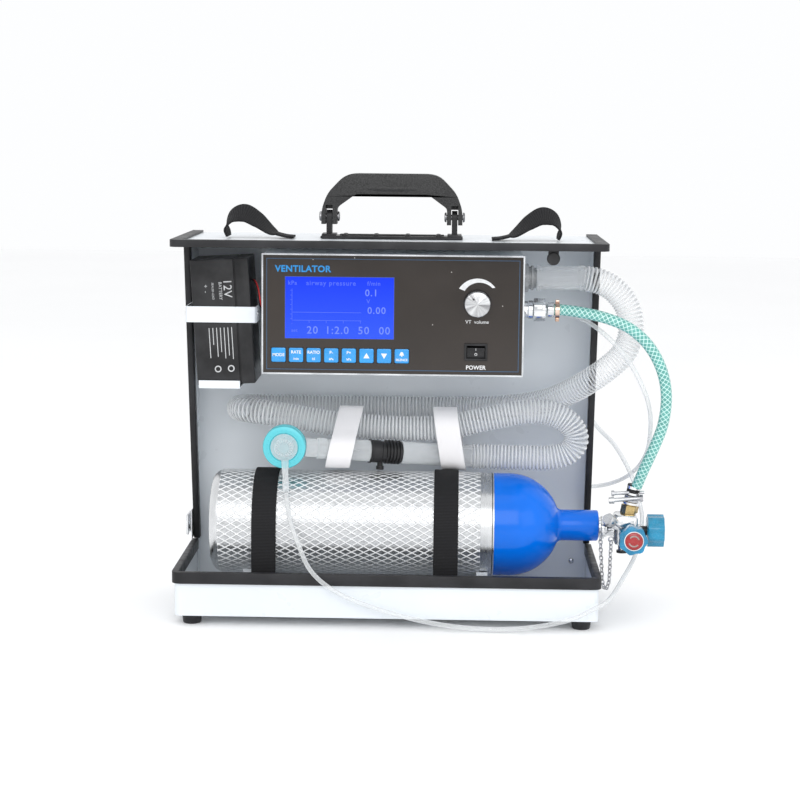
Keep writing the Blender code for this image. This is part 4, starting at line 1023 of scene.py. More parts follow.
class VENTILATOR_OT_handle(bpy.types.Operator):
    """Carrying handle: foot plate, grip with its padded middle, and pivot bolts"""
    bl_idname = "ventilator.handle"
    bl_label = "Handle"

    def execute(self, context):
        recast("handle_base", [black_plastic()], bevel=0.0006)
        self.grip()
        for tag in ("left", "right"):
            low, high = corners(f"handle_pin_{tag}")
            middle = (low + high) / 2
            half = (high.x - low.x) / 2
            bm = bmesh.new()
            profile = [(0.0, half - 0.0006), (0.0016, half - 0.0006), (0.0020, half),
                       (0.0042, half), (0.0052, half - 0.0008), (0.0052, half - 0.0022),
                       (0.0030, half - 0.0022)]
            mirror = [(r, -h) for r, h in reversed(profile)]
            turned(bm, profile + mirror, middle, (1, 0, 0), steps=40)
            finished(bm, f"handle_bolt_{tag}", [brushed("bolt_steel", (1, 1, 1), (0.16, 0.16, 0.17),
                                                        (0.34, 0.34, 0.35))],
                     instead=(f"handle_pin_{tag}",))
        bm = bmesh.new()
        low, high = corners("handle_base")
        y = (low.y + high.y) / 2
        for x in (-0.0500, -0.0170, 0.0170, 0.0500):
            pan_head(bm, (x, y - 0.0095, low.z + 0.0030), (0, 0, 1), 0.0032)
            pan_head(bm, (x, y + 0.0095, low.z + 0.0030), (0, 0, 1), 0.0032)
        finished(bm, "handle_screws", [black_plastic()])
        bm = bmesh.new()
        block(bm, (-0.0560, y - 0.0040, low.z + 0.0028), (0.0560, y + 0.0040, low.z + 0.0046),
              0.0008)
        finished(bm, "handle_base_rib", [black_plastic()])
        return {"FINISHED"}

    def grip(self):
        """Moulded bow with a fuller middle, forked over the lugs at both ends."""
        low, high = corners("handle_grip")
        y, depth = (low.y + high.y) / 2, high.y - low.y
        pin_low, pin_high = corners("handle_pin_right")
        pivot, gap, roof = (pin_low.x + pin_high.x) / 2, 0.0037, 0.4396
        rise = [(high.x, low.z), (high.x, 0.4345), (0.0690, 0.4520), (0.0525, 0.4695),
                (0.0425, high.z)]
        inner = [(0.0588, low.z), (0.0588, 0.4365), (0.0385, 0.4512)]
        outer = softened(rise + [(-x, z) for x, z in reversed(rise)], 0.0070)
        under = softened(inner + [(0.0, 0.4498)] + [(-x, z) for x, z in reversed(inner)], 0.0030)
        notch = [(pivot - gap, low.z), (pivot - gap, roof), (pivot + gap, roof),
                 (pivot + gap, low.z)]
        points = outer + [(-x, z) for x, z in reversed(notch)] + under[::-1] + notch
        bm = bmesh.new()
        verts = plate(bm, points, low.y, depth)
        mid = CASE.x
        rim = [e for e in edges_of(verts)
               if abs(e.verts[0].co.y - e.verts[1].co.y) < 0.000001
               and all(abs(abs(v.co.x - mid) - pivot) > gap + 0.0001 for v in e.verts)]
        bmesh.ops.bevel(bm, geom=rim, offset=0.0022, segments=4, profile=0.5, affect="EDGES",
                        material=-1, clamp_overlap=True)
        bmesh.ops.triangulate(bm, faces=[f for f in bm.faces if len(f.verts) > 4])
        for x in (pivot, -pivot):
            block(bm, (x - gap - 0.0005, y, 0.4350),
                  (x + gap + 0.0005, high.y - 0.0022, roof + 0.001))
        barrel = []
        for i in range(25):
            share = i / 12 - 1
            full = 1 - 0.24 * abs(share) ** 3
            barrel.append((0.0400 * share, full))
        section = [(depth / 2 * 1.09 * math.cos(a), 0.0079 * math.sin(a))
                   for a in (2 * math.pi * k / 32 for k in range(32))]
        line = [at(x, y, 0.4574) for x, full in barrel]
        swell = {round(i * 0.0400 / 12, 6): full for i, (x, full) in enumerate(barrel)}
        sweep(bm, line, section, side=lambda share: (0, 1, 0),
              scale=lambda far: swell[min(swell, key=lambda k: abs(k - far))])
        bmesh.ops.recalc_face_normals(bm, faces=bm.faces)
        finished(bm, "handle_bow", [grip_leatherette()], "handle", 20, ("handle_grip",))


def sideways(share):
    return (1, 0, 0)


def strap(name, line, section, side, finish, node):
    """A strap of one section along a line, in place of its node."""
    bm = bmesh.new()
    sweep(bm, line, section, side=side)
    bmesh.ops.recalc_face_normals(bm, faces=bm.faces)
    return finished(bm, name, [finish], angle=50, instead=(node,))


class VENTILATOR_OT_straps(bpy.types.Operator):
    """Shoulder strap loops on the lid, cylinder straps and the hoses' tape ties"""
    bl_idname = "ventilator.straps"
    bl_label = "Straps"

    def execute(self, context):
        self.shoulder_loops()
        self.cylinder_bands()
        self.hose_ties()
        return {"FINISHED"}

    def shoulder_loops(self):
        low = 0.4038 + 0.0016
        path = [(-0.1745, low), (-0.1765, 0.4160), (-0.1700, 0.4265), (-0.1575, 0.4300),
                (-0.1430, 0.4225), (-0.1280, 0.4110), (-0.1150, low + 0.0012), (-0.1040, low)]
        width = 0.034
        for name, way in (("left", 1), ("right", -1)):
            points = [Vector((x if way > 0 else 0.003 - x, 0.092, z)) for x, z in path]
            line = smooth_route(points, 0.0016)

            def side(share, way=way):
                lean = math.radians(30) * math.sin(math.pi * min(1.0, share * 1.25)) ** 0.7 \
                    if share < 0.8 else 0.0
                return (0, way * math.cos(lean), way * math.sin(lean))

            loop = strap(f"shoulder_loop_{name}", line, band_section(width, 0.0022), side,
                         webbing(), f"shoulder_strap_{name}")
        bm = bmesh.new()
        profile = [(0.0, 0.0016), (0.0058, 0.0016), (0.0068, 0.0008), (0.0068, -0.0012),
                   (0.0, -0.0012)]
        turned(bm, profile, (0.1690, 0.0130, 0.3900), (0, -1, 0), steps=40)
        block(bm, (0.1635, 0.0125, 0.3925), (0.1745, 0.0145, 0.4016), 0.0006)
        finished(bm, "strap_end_clip", [black_plastic()])

    def cylinder_bands(self):
        reach, middle, axis = 0.0572, 0.0800, 0.0980
        floor = 0.0135
        for tag in ("left", "right"):
            low, high = corners(f"cylinder_strap_{tag}")
            x, width = (low.x + high.x) / 2, high.x - low.x
            path = [(middle - reach, floor + (axis - 0.02 - floor) * i / 24) for i in range(24)]
            path += arc(middle, axis, reach, 180, 0, 72)
            path += [(middle + reach, axis - 0.02 - (axis - 0.02 - floor) * i / 24)
                     for i in range(1, 25)]
            path = [p for i, p in enumerate(path) if not i or
                    (Vector(p) - Vector(path[i - 1])).length > 0.0005]
            line = [at(x, y, z) for y, z in path]
            band = strap(f"cylinder_band_{tag}", line, band_section(width, 0.0018), sideways,
                         webbing("cylinder_webbing", 0.0016), f"cylinder_strap_{tag}")

    def hose_ties(self):
        rear = 0.1907
        over = [(rear, 0.1925), (0.1540, 0.1935), (0.1375, 0.2035), (0.1280, 0.2150),
                (0.1140, 0.2192)]
        left = over + [(0.0990, 0.2100), (0.0800, 0.1990), (0.0620, 0.1895), (0.0560, 0.1750),
                       (0.0640, 0.1620), (0.0800, 0.1590), (0.1140, 0.1620), (rear, 0.1750)]
        right = over + [(0.0950, 0.2110), (0.0880, 0.1950), (0.0880, 0.1680), (0.0930, 0.1575),
                        (0.1030, 0.1538), (0.1140, 0.1515), (0.1300, 0.1540), (rear, 0.1750)]
        for name, path, x, lean in (("left", left, -0.0490, 12), ("right", right, 0.0640, -9)):
            slope = math.tan(math.radians(lean))
            points = [Vector((x + (z - 0.19) * slope, y, z)) for y, z in path]
            line = smooth_route(points, 0.002)
            width = 0.026
            tie = strap(f"hose_tape_{name}", line, band_section(width, 0.0012), sideways,
                        felt(), f"hose_tie_{name}")


class VENTILATOR_OT_panel(bpy.types.Operator):
    """Front panel with its border, screen, lettering, keys, knob and switch"""
    bl_idname = "ventilator.panel"
    bl_label = "Panel"

    def execute(self, context):
        settings = context.scene.ventilator_unit
        self.blue = ink("title_blue", tuple(settings.key))
        self.white = ink("mark_white", (0.82, 0.83, 0.84))
        recast("unit_housing", [case_paint()])
        recast("front_panel", [panel_film()])
        recast("lcd_module", [screen_glass()], angle=0)
        self.border_lines()
        self.screen_figures()
        self.lettering()
        self.keys(settings)
        self.knob()
        self.switch()
        return {"FINISHED"}

    def border_lines(self):
        low, high, y = PANEL_LOW, PANEL_HIGH, PANEL_FACE
        bm = bmesh.new()
        border(bm, (low.x - 0.0006, y - 0.0008, low.z - 0.0006),
               (high.x + 0.0006, y - 0.0008, high.z + 0.0006), 0.0016, 0.0016)
        finished(bm, "panel_edge", [brushed("edge_aluminium", (6, 1, 6), (0.46, 0.48, 0.50),
                                            (0.72, 0.74, 0.76))], angle=30)
        bm = bmesh.new()
        inset = 0.0044
        border(bm, (low.x + inset, y - INK, low.z + inset),
               (high.x - inset, y - INK, high.z - inset), 0.0007, INK_DEPTH)
        finished(bm, "panel_line", [ink("line_blue", (0.030, 0.085, 0.17))], angle=30)
        bm = bmesh.new()
        edge = 0.0005
        border(bm, (LCD_LOW.x - edge, y - INK, LCD_LOW.z - edge),
               (LCD_HIGH.x + edge, y - INK, LCD_HIGH.z + edge), edge, INK_DEPTH)
        finished(bm, "screen_edge", [ink("screen_edge_blue", (0.05, 0.09, 0.34))], angle=30)

    def screen_figures(self):
        mark = ink("screen_mark", (0.090, 0.150, 0.62), glow=0.5)
        faint = ink("screen_faint", (0.040, 0.090, 0.62), glow=0.5)
        y = LCD_LOW.y - INK
        left, low = LCD_LOW.x, LCD_LOW.z
        bm = bmesh.new()
        for text, size, x, z in (("0.1", 0.0100, 0.0905, 0.0480), ("0.00", 0.0100, 0.0960, 0.0295),
                                 ("20", 0.0112, 0.0285, 0.0082), ("1:2.0", 0.0112, 0.0545, 0.0082),
                                 ("50", 0.0112, 0.0825, 0.0082), ("00", 0.0112, 0.1045, 0.0082),
                                 ("V", 0.0060, 0.0872, 0.0392), ("f/min", 0.0060, 0.0930, 0.0580),
                                 ("kPa", 0.0060, 0.0075, 0.0580), ("set", 0.0048, 0.0095, 0.0080),
                                 ("airway pressure", 0.0070, 0.0480, 0.0580)):
            words(bm, text, size, left + x, low + z, y, mat=0 if size > 0.008 else 1,
                  bold=0.00012, spread=1.15)
        line = 0.00055
        for x0, x1, z0, z1 in ((0.0068, 0.0068 + line, 0.0145, 0.0520),
                               (0.0068, 0.0800, 0.0270, 0.0270 + line),
                               (0.0068, 0.0800, 0.0185, 0.0185 + line)):
            tick(bm, left + x0, left + x1, low + z0, low + z1, y)
        for i in range(5):
            x = left + 0.0068 + i * 0.0180
            tick(bm, x, x + line, low + 0.0160, low + 0.0186, y)
        for i in range(7):
            z = low + 0.0200 + i * 0.0050
            tick(bm, left + 0.0052, left + 0.0069, z, z + line, y)
        finished(bm, "screen_figures", [mark, faint], angle=30)

    def lettering(self):
        y = PANEL_FACE - INK / 2
        bm = bmesh.new()
        words(bm, "VENTILATOR", 0.0094, -0.0912, 0.3742, y, bold=0.00028, spread=1.06)
        finished(bm, "title_word", [self.blue], angle=30)
        bm = bmesh.new()
        words(bm, "VT  volume", 0.0052, 0.0920, 0.3205, y)
        words(bm, "POWER", 0.0060, 0.0912, 0.2722, y, bold=0.00010)
        x, z, reach = 0.0920, 0.3435, 0.0228
        points = arc(x, z, reach, 36, 148, 24)
        for i in range(25):
            turn, wide = math.radians(144 - 104 * i / 24), 0.0062 - 0.0036 * i / 24
            far = reach - wide
            points.append((x + far * math.cos(turn), z + far * math.sin(turn)))
        plate(bm, points, PANEL_FACE - INK, INK_DEPTH)
        finished(bm, "panel_lettering", [self.white], angle=30)

    def keys(self, settings):
        dark, light = shades(tuple(settings.key), 0.86, 1.06)
        cap = plain("key_cap", dark, light, (0.22, 0.34), patch=60.0, grain=2600.0, bump=0.08,
                    Coat_Weight=0.6, Coat_Roughness=0.08)
        legends = {"mode": ("MODE",), "rate": ("RATE", "/min"), "ratio": ("RATIO", "I:E"),
                   "pressure_low": ("P-", "kPa"), "pressure_high": ("P+", "kPa"),
                   "silence": ("", "SILENCE")}
        for name in KEYS:
            node, body = f"{name}_key", f"{name}_key_body"
            low, high = corners(node)
            bm = bmesh.new()
            slab(bm, low, high, 0.0016, 0.0004)
            finished(bm, f"{name}_key_cap", [cap], body, 40, (node,))
            x, z, y = (low.x + high.x) / 2, (low.z + high.z) / 2, low.y - INK / 2
            bm = bmesh.new()
            if name in ("up", "down"):
                way = 1 if name == "up" else -1
                plate(bm, [(x - 0.0032, z - 0.0026 * way), (x + 0.0032, z - 0.0026 * way),
                           (x, z + 0.0030 * way)], low.y - INK, INK_DEPTH)
            else:
                lines = legends[name]
                if len(lines) == 1:
                    words(bm, lines[0], 0.0045, x, z, y, bold=0.00008)
                else:
                    if lines[0]:
                        words(bm, lines[0], 0.0045, x, z + 0.0030, y, bold=0.00008)
                    words(bm, lines[1], 0.0034, x, z - 0.0040, y, bold=0.00006)
                if name == "silence":
                    self.bell(bm, x, z + 0.0024, low.y)
            finished(bm, f"{name}_key_mark", [self.white], body, 30, ())

    def bell(self, bm, x, z, y):
        """A bell outline: dome, brim and clapper."""
        dome = [(x - 0.0024, z - 0.0016)] + arc(x, z + 0.0004, 0.0017, 180, 0, 10) \
            + [(x + 0.0024, z - 0.0016)]
        plate(bm, dome[::-1], y - INK, INK_DEPTH)
        plate(bm, arc(x, z - 0.0024, 0.0006, 0, 330, 9)[::-1], y - INK, INK_DEPTH)

    def knob(self):
        low, high = corners("volume_knob")
        x, z = (low.x + high.x) / 2, (low.z + high.z) / 2
        front, rear = low.y, PANEL_FACE - 0.0006
        metal = turned_face()
        skirt = black_plastic()
        r = 0.0135
        bm = bmesh.new()
        cap = [(0.0, -front), (r - 0.0012, -front), (r - 0.0004, -front - 0.0004),
               (r, -front - 0.0012), (r, -rear + 0.0034), (0.0, -rear + 0.0034)]
        turned(bm, cap, (x, 0, z), (0, -1, 0), steps=96)
        base = [(0.0, -rear + 0.0034), (r + 0.0003, -rear + 0.0034), (r + 0.0008, -rear + 0.0024),
                (r + 0.0008, -rear), (0.0030, -rear), (0.0030, -high.y), (0.0, -high.y)]
        turned(bm, base, (x, 0, z), (0, -1, 0), steps=96, mat=1)
        angle = math.radians(128)
        spot = (x + 0.0068 * math.cos(angle), front + 0.0002, z + 0.0068 * math.sin(angle))
        rod(bm, spot, Vector(spot) + Vector((0, -0.0005, 0)), 0.0011, sides=20, mat=1)
        finished(bm, "volume_knob_turned", [metal, skirt], "volume_control", 38,
                 ("volume_knob",))

    def switch(self):
        gloss = plain("switch_gloss", (0.008, 0.008, 0.009), (0.016, 0.016, 0.018), (0.14, 0.24),
                      patch=80.0, grain=2600.0, bump=0.08, Specular_IOR_Level=0.35)
        recast("switch_bezel", [black_plastic()])
        recast("power_rocker", [gloss], body="rocker", bevel=0.0004)
        low, high = corners("power_rocker")
        x, z = (low.x + high.x) / 2, 0.2890
        bm = bmesh.new()
        for text, up, deep, lean in (("I", 0.0026, -0.00545, 21.0), ("O", -0.0026, -0.00445, -5.0)):
            place = Matrix.Translation(at(x, 0.0480 + deep, z + up)) @ Matrix.Rotation(
                math.radians(lean), 4, "X")
            words(bm, text, 0.0040, 0, 0, 0, matrix=place)
        finished(bm, "rocker_marks", [self.white], "rocker", 30, ())


def turned_face():
    """Aluminium turned on a lathe: rings round the knob's own axis, and lighter and darker sectors
    round that axis painted into its colour as painted highlights.
    """
    if made("turned_aluminium"):
        return made("turned_aluminium")
    low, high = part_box("volume_knob")
    f = Finish("turned_aluminium", (0.66, 0.67, 0.68), 0.26, 1.0, Anisotropic=0.6)
    x, _, z = f.split()
    across = f.math("SUBTRACT", x, (low[0] + high[0]) / 2)
    up = f.math("SUBTRACT", z, (low[2] + high[2]) / 2)
    angle = f.math("ARCTAN2", up, across)
    # Sectors round the axis for the painted highlights of the turned face.
    highlight_sectors = f.feed(f.add("ShaderNodeTexNoise", noise_dimensions="1D"), W=angle, Scale=1.6,
                    Detail=2.0).outputs[0]
    far = f.math("SQRT", f.math("ADD", f.math("MULTIPLY", across, across),
                                f.math("MULTIPLY", up, up)))
    rings = f.math("SINE", f.math("MULTIPLY", far, 2 * math.pi / 0.0005))
    # Base colour lighter in the painted highlight sectors, darker between them.
    f.colour(f.mix(f.span(highlight_sectors, 0.35, 0.65), (0.30, 0.30, 0.31), (0.70, 0.71, 0.72)))
    f.rough(f.span(highlight_sectors, 0.3, 0.7, 0.20, 0.34))
    f.bump(rings, 0.25, 0.00005)
    return f.mat


class VENTILATOR_OT_unit(bpy.types.Operator):
    """Gas ports, union nut, and what the housing holds"""
    bl_idname = "ventilator.unit"
    bl_label = "Unit"

    def execute(self, context):
        bright = chrome()
        recast("gas_inlet", [bright])
        recast("inlet_nut", [bright], body="union_nut", bevel=0.0006)
        y, z = 0.0600, 0.3330
        bm = bmesh.new()
        collar = [(0.0062, 0.1455), (0.0092, 0.1455), (0.0098, 0.1462), (0.0098, 0.1502),
                  (0.0092, 0.1509), (0.0062, 0.1509), (0.0062, 0.1455)]
        turned(bm, collar, (0, y, z), (1, 0, 0), steps=48)
        finished(bm, "inlet_collar", [bright])
        bm = bmesh.new()
        ferrule = [(0.0063, 0.1662), (0.0078, 0.1662), (0.0082, 0.1668), (0.0082, 0.1722),
                   (0.0078, 0.1728), (0.0063, 0.1728), (0.0063, 0.1662)]
        turned(bm, ferrule, (0, y, z), (1, 0, 0), steps=48)
        ring = [(0.0063, 0.1742), (0.0088, 0.1742), (0.0088, 0.1786), (0.0063, 0.1786),
                (0.0063, 0.1742)]
        turned(bm, ring, (0, y, z), (1, 0, 0), steps=48, mat=1)
        block(bm, (0.1744, y - 0.0040, z - 0.0120), (0.1784, y + 0.0020, z - 0.0080), 0.0005,
              mat=1)
        block(bm, (0.1744, y - 0.0040, z + 0.0082), (0.1784, y + 0.0020, z + 0.0108), 0.0005,
              mat=1)
        finished(bm, "inlet_clamp", [bright, copper()])

        grey = plain("port_plastic", (0.20, 0.21, 0.22), (0.34, 0.35, 0.36), (0.2, 0.3),
                     patch=60.0, grain=2400.0, bump=0.1, Coat_Weight=0.4)
        low, high = corners("breathing_port")
        y, z = (low.y + high.y) / 2, (low.z + high.z) / 2
        side = PANEL_HIGH.x + 0.0003
        bm = bmesh.new()
        port = [(0.0090, high.x), (0.0108, high.x), (0.0110, side + 0.0110),
                (0.0128, side + 0.0104), (0.0134, side + 0.0096), (0.0134, side + 0.0080),
                (0.0120, side + 0.0074), (0.0120, side + 0.0056), (0.0146, side + 0.0050),
                (0.0150, side + 0.0042), (0.0150, side + 0.0004), (0.0146, side),
                (0.0110, side), (0.0110, low.x), (0.0090, low.x), (0.0090, high.x)]
        turned(bm, port, (0, y, z), (1, 0, 0), steps=72)
        finished(bm, "breathing_port_moulded", [grey], instead=("breathing_port",))

        board = plain("circuit_board", (0.006, 0.10, 0.035), (0.012, 0.20, 0.07), (0.3, 0.45),
                      patch=120.0, grain=2600.0, bump=0.1)
        recast("main_board", [board])
        recast("solenoid_valve", [brass()], bevel=0.0004)
        recast("volume_valve", [grey])
        return {"FINISHED"}


class VENTILATOR_OT_battery(bpy.types.Operator):
    """Sealed battery with its lid seam, label marks, bracket and wires"""
    bl_idname = "ventilator.battery"
    bl_label = "Battery"

    def execute(self, context):
        black = black_plastic()
        centre = Vector((-0.1774, 0.0935, 0.3160))
        width, depth, height = 0.062, 0.067, 0.134
        place = Matrix.Translation(CASE + centre) @ Matrix.Rotation(math.radians(-3.4), 4, "Y")
        lid, gap = 0.0155, 0.0005
        x, y, z = width / 2, depth / 2, height / 2
        bm = bmesh.new()
        block(bm, (-x, -y, -z), (x - lid - gap, y, z), 0.0014, 3, matrix=place)
        block(bm, (x - lid, -y + 0.0002, -z), (x, y - 0.0002, z), 0.0014, 3, matrix=place)
        block(bm, (x - lid - 0.002, -y + 0.0012, -z + 0.0010),
              (x - lid + 0.001, y - 0.0012, z - 0.001), matrix=place)
        finished(bm, "battery_case", [black], instead=("battery",))

        white = ink("label_grey", (0.55, 0.56, 0.57))
        bm = bmesh.new()
        front = -y - INK
        upright = Matrix.Rotation(math.radians(90), 4, "Y")
        for text, size, across, up in (("12V", 0.0125, 0.0070, 0.0355),
                                       ("BATTERY", 0.0046, -0.0005, 0.0330),
                                       ("SEALED LEAD", 0.0030, -0.0085, 0.0330),
                                       ("+  -", 0.0060, -0.0160, 0.0360)):
            words(bm, text, size, 0, 0, 0,
                  matrix=place @ Matrix.Translation((across, front, up)) @ upright)
        rows = (0.0340, 0.0300, 0.0330, 0.0260, 0.0310, 0.0180, 0.0320)
        for i, long in enumerate(rows):
            across = 0.0090 - i * 0.0040
            block(bm, (across - 0.0004, front, -0.0060 - long),
                  (across + 0.0004, front + INK, -0.0060), matrix=place)
        for across in (0.0060, -0.0080):
            ring = [(0.0024, INK), (0.0036, INK), (0.0036, 0), (0.0024, 0), (0.0024, INK)]
            seat = place @ Matrix.Translation((across, front + INK, -0.0500))
            verts = turned(bm, ring, (0, 0, 0), (0, -1, 0), steps=32)
            shift(bm, verts, seat @ Matrix.Translation(-CASE))
        finished(bm, "battery_label", [white], angle=30)

        recast("battery_bracket", [case_paint()], bevel=0.0004)
        bm = bmesh.new()
        pan_head(bm, (-0.1413, 0.0690, 0.3245), (1, 0, 0), 0.0026)
        pan_head(bm, (-0.2168, 0.0690, 0.3245), (-1, 0, 0), 0.0026)
        finished(bm, "bracket_screws", [chrome()])

        red = plain("wire_red", (0.42, 0.008, 0.010), (0.62, 0.015, 0.018), (0.3, 0.42),
                    patch=200.0, grain=2600.0, bump=0.1)
        bm = bmesh.new()
        line = smooth_route(LEAD_ROUTE, 0.0015)
        for mat, off in ((0, Vector((0.0008, -0.0006, 0.0))), (1, Vector((-0.0008, 0.0006, 0.0)))):
            sweep(bm, [p + off for p in line], ring_section(0.00075, 12), mat=mat)
        finished(bm, "battery_wires", [red, trim_rubber()], angle=60, instead=("battery_lead",))
        return {"FINISHED"}


class VENTILATOR_OT_cylinder(bpy.types.Operator):
    """Oxygen cylinder: bare aluminium, painted shoulder and neck, and its net sleeve"""
    bl_idname = "ventilator.cylinder"
    bl_label = "Cylinder"

    def execute(self, context):
        low, high = corners("cylinder_body")
        y, z = (low.y + high.y) / 2, (low.z + high.z) / 2
        radius, neck, blend, dome_x = 0.0553, 0.0167, 0.006, 0.130
        left, end = low.x, high.x
        paint_from = context.scene.ventilator_cylinder.paint_from
        foot = dome_x + math.sqrt((radius + blend) ** 2 - (neck + blend) ** 2)
        meet = math.degrees(math.atan2(neck + blend, foot - dome_x))
        fillet = [(b, a) for a, b in arc(foot, neck + blend, blend, 270, 180 + meet, 8)]
        dome = [(b, a) for a, b in arc(dome_x, 0, radius, meet, 90, 28)]
        painted = [(0.0, end), (neck - 0.0020, end), (neck - 0.0006, end - 0.0006),
                   (neck, end - 0.0020)] + fillet + dome + [(radius, paint_from),
                                                            (0.0, paint_from)]
        heel = [(b, a) for a, b in arc(left + 0.012, radius - 0.012, 0.012, 90, 165, 10)]
        bare = [(0.0, paint_from), (radius, paint_from), (radius, paint_from - 0.001)] + heel \
            + [(radius - 0.017, left + 0.002), (0.0, left + 0.006)]
        bm = bmesh.new()
        turned(bm, painted, (0, y, z), (1, 0, 0), steps=112, mat=1)
        turned(bm, bare, (0, y, z), (1, 0, 0), steps=112)
        line = [(radius - 0.001, 0.1116), (radius + 0.00015, 0.1116), (radius + 0.00015, 0.1107),
                (radius - 0.001, 0.1107), (radius - 0.001, 0.1116)]
        turned(bm, line, (0, y, z), (1, 0, 0), steps=112, mat=2)
        finished(bm, "cylinder_shell", [cylinder_metal(), dome_paint(), trim_rubber()],
                 instead=("cylinder_body",))

        bm = bmesh.new()
        uv = bm.loops.layers.uv.verify()
        start, stop = -0.1805, 0.0985
        sleeve = [(radius + 0.0001, start), (radius + 0.0007, start + 0.0004),
                  (radius + 0.0007, stop - 0.0004), (radius + 0.0001, stop)]
        steps = 120
        verts = turned(bm, sleeve + [sleeve[0]], (0, y, z), (1, 0, 0), steps=steps)
        for face in faces_of(verts):
            turns = [math.atan2(loop.vert.co.z - CASE.z - z, loop.vert.co.y - CASE.y - y)
                     / (2 * math.pi) for loop in face.loops]
            for loop, turn in zip(face.loops, turns):
                if max(turns) - min(turns) > 0.5 and turn < 0:
                    turn += 1.0
                loop[uv].uv = (turn, loop.vert.co.x)
        finished(bm, "cylinder_net", [net_sleeve()])
        return {"FINISHED"}


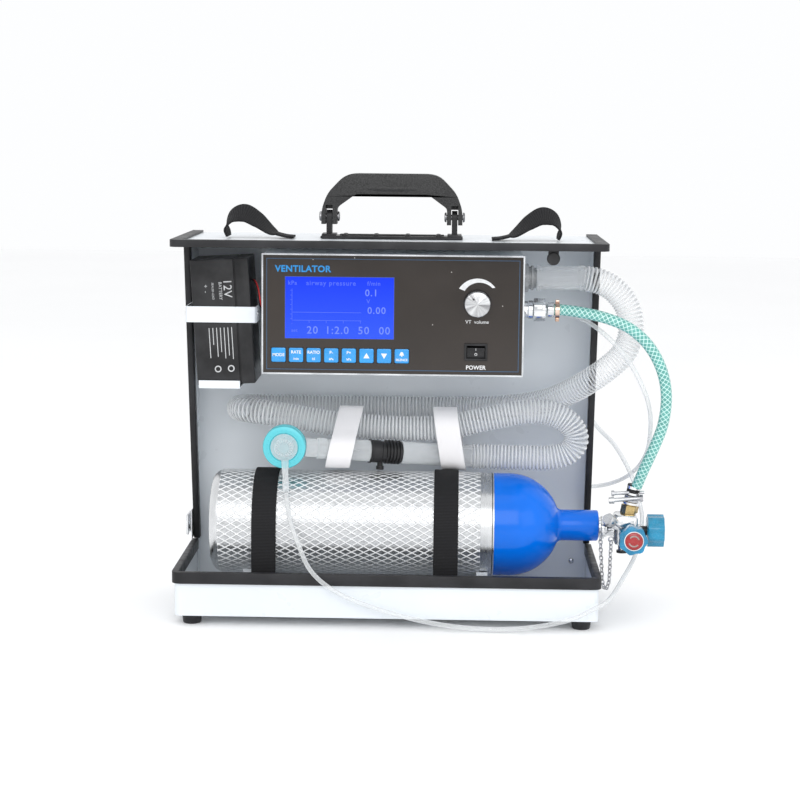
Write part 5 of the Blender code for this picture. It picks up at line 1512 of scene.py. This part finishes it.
class VENTILATOR_OT_valve(bpy.types.Operator):
    """Cylinder valve: body, handwheels, hose fitting with its clamp, cap and chain"""
    bl_idname = "ventilator.valve"
    bl_label = "Cylinder valve"

    def execute(self, context):
        bright = chrome()
        steel = brushed()
        recast("valve_body", [bright], angle=45)
        bm = bmesh.new()
        for x0, x1, r in ((0.2268, 0.2290, 0.0112), (0.2296, 0.2325, 0.0125),
                          (0.2335, 0.2350, 0.0104)):
            rod(bm, (x0, 0.0800, 0.0960), (x1, 0.0800, 0.0960), r, sides=48)
        rod(bm, (0.2520, 0.0740, 0.0725), (0.2520, 0.0740, 0.0700), 0.0058, mat=1)
        finished(bm, "valve_rings", [bright, black_plastic()])

        blue = wheel_plastic()
        recast("front_handwheel", [blue], body="front_wheel", angle=50)
        recast("side_handwheel", [wheel_plastic("side_wheel_moulding", (0.0, 0.24, 0.42))],
               body="side_wheel", angle=50)
        low, high = corners("front_handwheel")
        x, z, front = (low.x + high.x) / 2, (low.z + high.z) / 2, -low.y
        bm = bmesh.new()
        disc = [(0.0, front + 0.0018), (0.0040, front + 0.0016), (0.0080, front + 0.0010),
                (0.0096, front), (0.0096, front - 0.0010), (0.0, front - 0.0010)]
        turned(bm, disc, (x, 0, z), (0, -1, 0), steps=64)
        ring = [(0.0096, front - 0.0006), (0.0096, front + 0.0006), (0.0104, front + 0.0006),
                (0.0106, front - 0.0006), (0.0096, front - 0.0006)]
        turned(bm, ring, (x, 0, z), (0, -1, 0), steps=64, mat=1)
        for start in (20, 200):
            points = arc(x, z, 0.0062, start, start + 120, 10) \
                + arc(x, z, 0.0048, start + 120, start, 10)
            plate(bm, points, -front - 0.0017, 0.0008, mat=2)
        finished(bm, "front_wheel_disc", [wheel_plastic("disc_red", (0.33, 0.009, 0.011)), bright,
                                          ink("disc_grey", (0.36, 0.30, 0.28))], "front_wheel", 38,
                 ())
        low, high = corners("side_handwheel")
        bm = bmesh.new()
        rod(bm, (low.x - 0.0002, 0.0800, 0.0930), (low.x + 0.0072, 0.0800, 0.0930), 0.0052)
        profile = [(0.0, high.x + 0.0006), (0.0070, high.x + 0.0006), (0.0078, high.x),
                   (0.0078, high.x - 0.0010), (0.0, high.x - 0.0010)]
        turned(bm, profile, (0, 0.0800, 0.0930), (1, 0, 0), steps=48)
        finished(bm, "side_wheel_stem", [black_plastic()], "side_wheel", 38, ())

        recast("hose_fitting", [brass()], bevel=0.0004)
        recast("hose_clamp", [steel], bevel=0.0003)
        recast("dust_cap", [steel], bevel=0.0004)
        self.clamp_bolts(steel)
        self.chain(steel)
        return {"FINISHED"}

    def clamp_bolts(self, steel):
        lean = FITTING_LEAN
        middle = FITTING_FOOT + lean * 0.0160
        bm = bmesh.new()
        head = middle + Vector((-0.0250, -0.0075, -0.0012))
        rod(bm, head, head + Vector((0.0055, 0, 0.0005)), 0.0036, sides=24)
        nut = middle + Vector((0.0080, -0.0075, 0.0018))
        rod(bm, nut, nut + Vector((0.0034, 0, 0.0002)), 0.0038, sides=6)
        upper = middle + Vector((-0.0205, -0.0060, 0.0064))
        rod(bm, upper, upper + Vector((0.0170, 0.0010, 0.0008)), 0.0020, sides=20)
        rod(bm, upper + Vector((-0.0018, 0, 0)), upper + Vector((0.0012, 0, 0.0001)), 0.0032,
            sides=24)
        rod(bm, upper + Vector((0.0280, -0.0030, 0.0020)),
            upper + Vector((0.0330, -0.0030, 0.0022)), 0.0018, sides=16)
        finished(bm, "clamp_bolts", [steel])
        bm = bmesh.new()
        for far, radius in ((0.0100, 0.0086), (0.0205, 0.0082)):
            here = FITTING_FOOT + lean * far
            rod(bm, here, here + lean * 0.0022, radius, sides=48)
        for far, radius, finish in ((0.0235, 0.0071, 1), (0.0268, 0.0073, 0), (0.0285, 0.0071, 1)):
            here = FITTING_FOOT + lean * far
            rod(bm, here, here + lean * 0.0031, radius, sides=48, mat=finish)
        finished(bm, "fitting_rings", [chrome(), trim_rubber()])

    def chain(self, steel):
        """Welded oval links, each a quarter turn from the last, and the ring they hang from."""
        bm = bmesh.new()
        pitch = 0.0044
        line = smooth_route(CHAIN_ROUTE, pitch)
        for i, (a, b) in enumerate(zip(line, line[1:])):
            middle, run = (a + b) / 2, (b - a).normalized()
            side = Vector((0, 1, 0)) - run * run.y
            side = (Matrix.Rotation(math.radians(90 * (i % 2) + 35), 3, run) @ side).normalized()
            oval = []
            for k in range(10):
                angle = 2 * math.pi * k / 10
                oval.append(middle + run * math.cos(angle) * 0.0031
                            + side * math.sin(angle) * 0.0020)
            sweep(bm, oval, ring_section(0.00062, 6), closed=True)
        ring = [CASE + Vector((0.2388, 0.0560, 0.0880)) + Vector((math.cos(t), 0, math.sin(t)))
                * 0.0026 for t in (2 * math.pi * k / 24 for k in range(24))]
        sweep(bm, ring, ring_section(0.0008, 10), closed=True)
        bmesh.ops.recalc_face_normals(bm, faces=bm.faces)
        finished(bm, "cap_chain_links", [steel], angle=60, instead=("cap_chain",))


class VENTILATOR_PT_panel(bpy.types.Panel):
    """Lists the pieces that can be built"""
    bl_idname = "VENTILATOR_PT_panel"
    bl_label = "Ventilator"
    bl_space_type = "VIEW_3D"
    bl_region_type = "UI"
    bl_category = "Ventilator"

    def draw(self, context):
        for operator in OPERATORS:
            self.layout.operator(operator.bl_idname)
        for name in SETTINGS:
            group = getattr(context.scene, name)
            for key in group.__annotations__:
                self.layout.prop(group, key)


OPERATORS = (VENTILATOR_OT_stage, VENTILATOR_OT_hoses, VENTILATOR_OT_case, VENTILATOR_OT_handle,
             VENTILATOR_OT_cylinder, VENTILATOR_OT_straps, VENTILATOR_OT_panel,
             VENTILATOR_OT_unit, VENTILATOR_OT_battery, VENTILATOR_OT_valve)
SETTINGS = {"ventilator_case": CaseSettings, "ventilator_unit": UnitSettings,
            "ventilator_cylinder": CylinderSettings, "ventilator_circuit": CircuitSettings}


def register():
    for kind in (*SETTINGS.values(), *OPERATORS, VENTILATOR_PT_panel):
        bpy.utils.register_class(kind)
    for name, kind in SETTINGS.items():
        setattr(bpy.types.Scene, name, PointerProperty(type=kind))


def unregister():
    for name in SETTINGS:
        delattr(bpy.types.Scene, name)
    for kind in (VENTILATOR_PT_panel, *reversed(OPERATORS), *SETTINGS.values()):
        bpy.utils.unregister_class(kind)


def main():
    register()
    for operator in OPERATORS:
        group, name = operator.bl_idname.split(".")
        getattr(getattr(bpy.ops, group), name)()


if __name__ == "__main__":
    main()
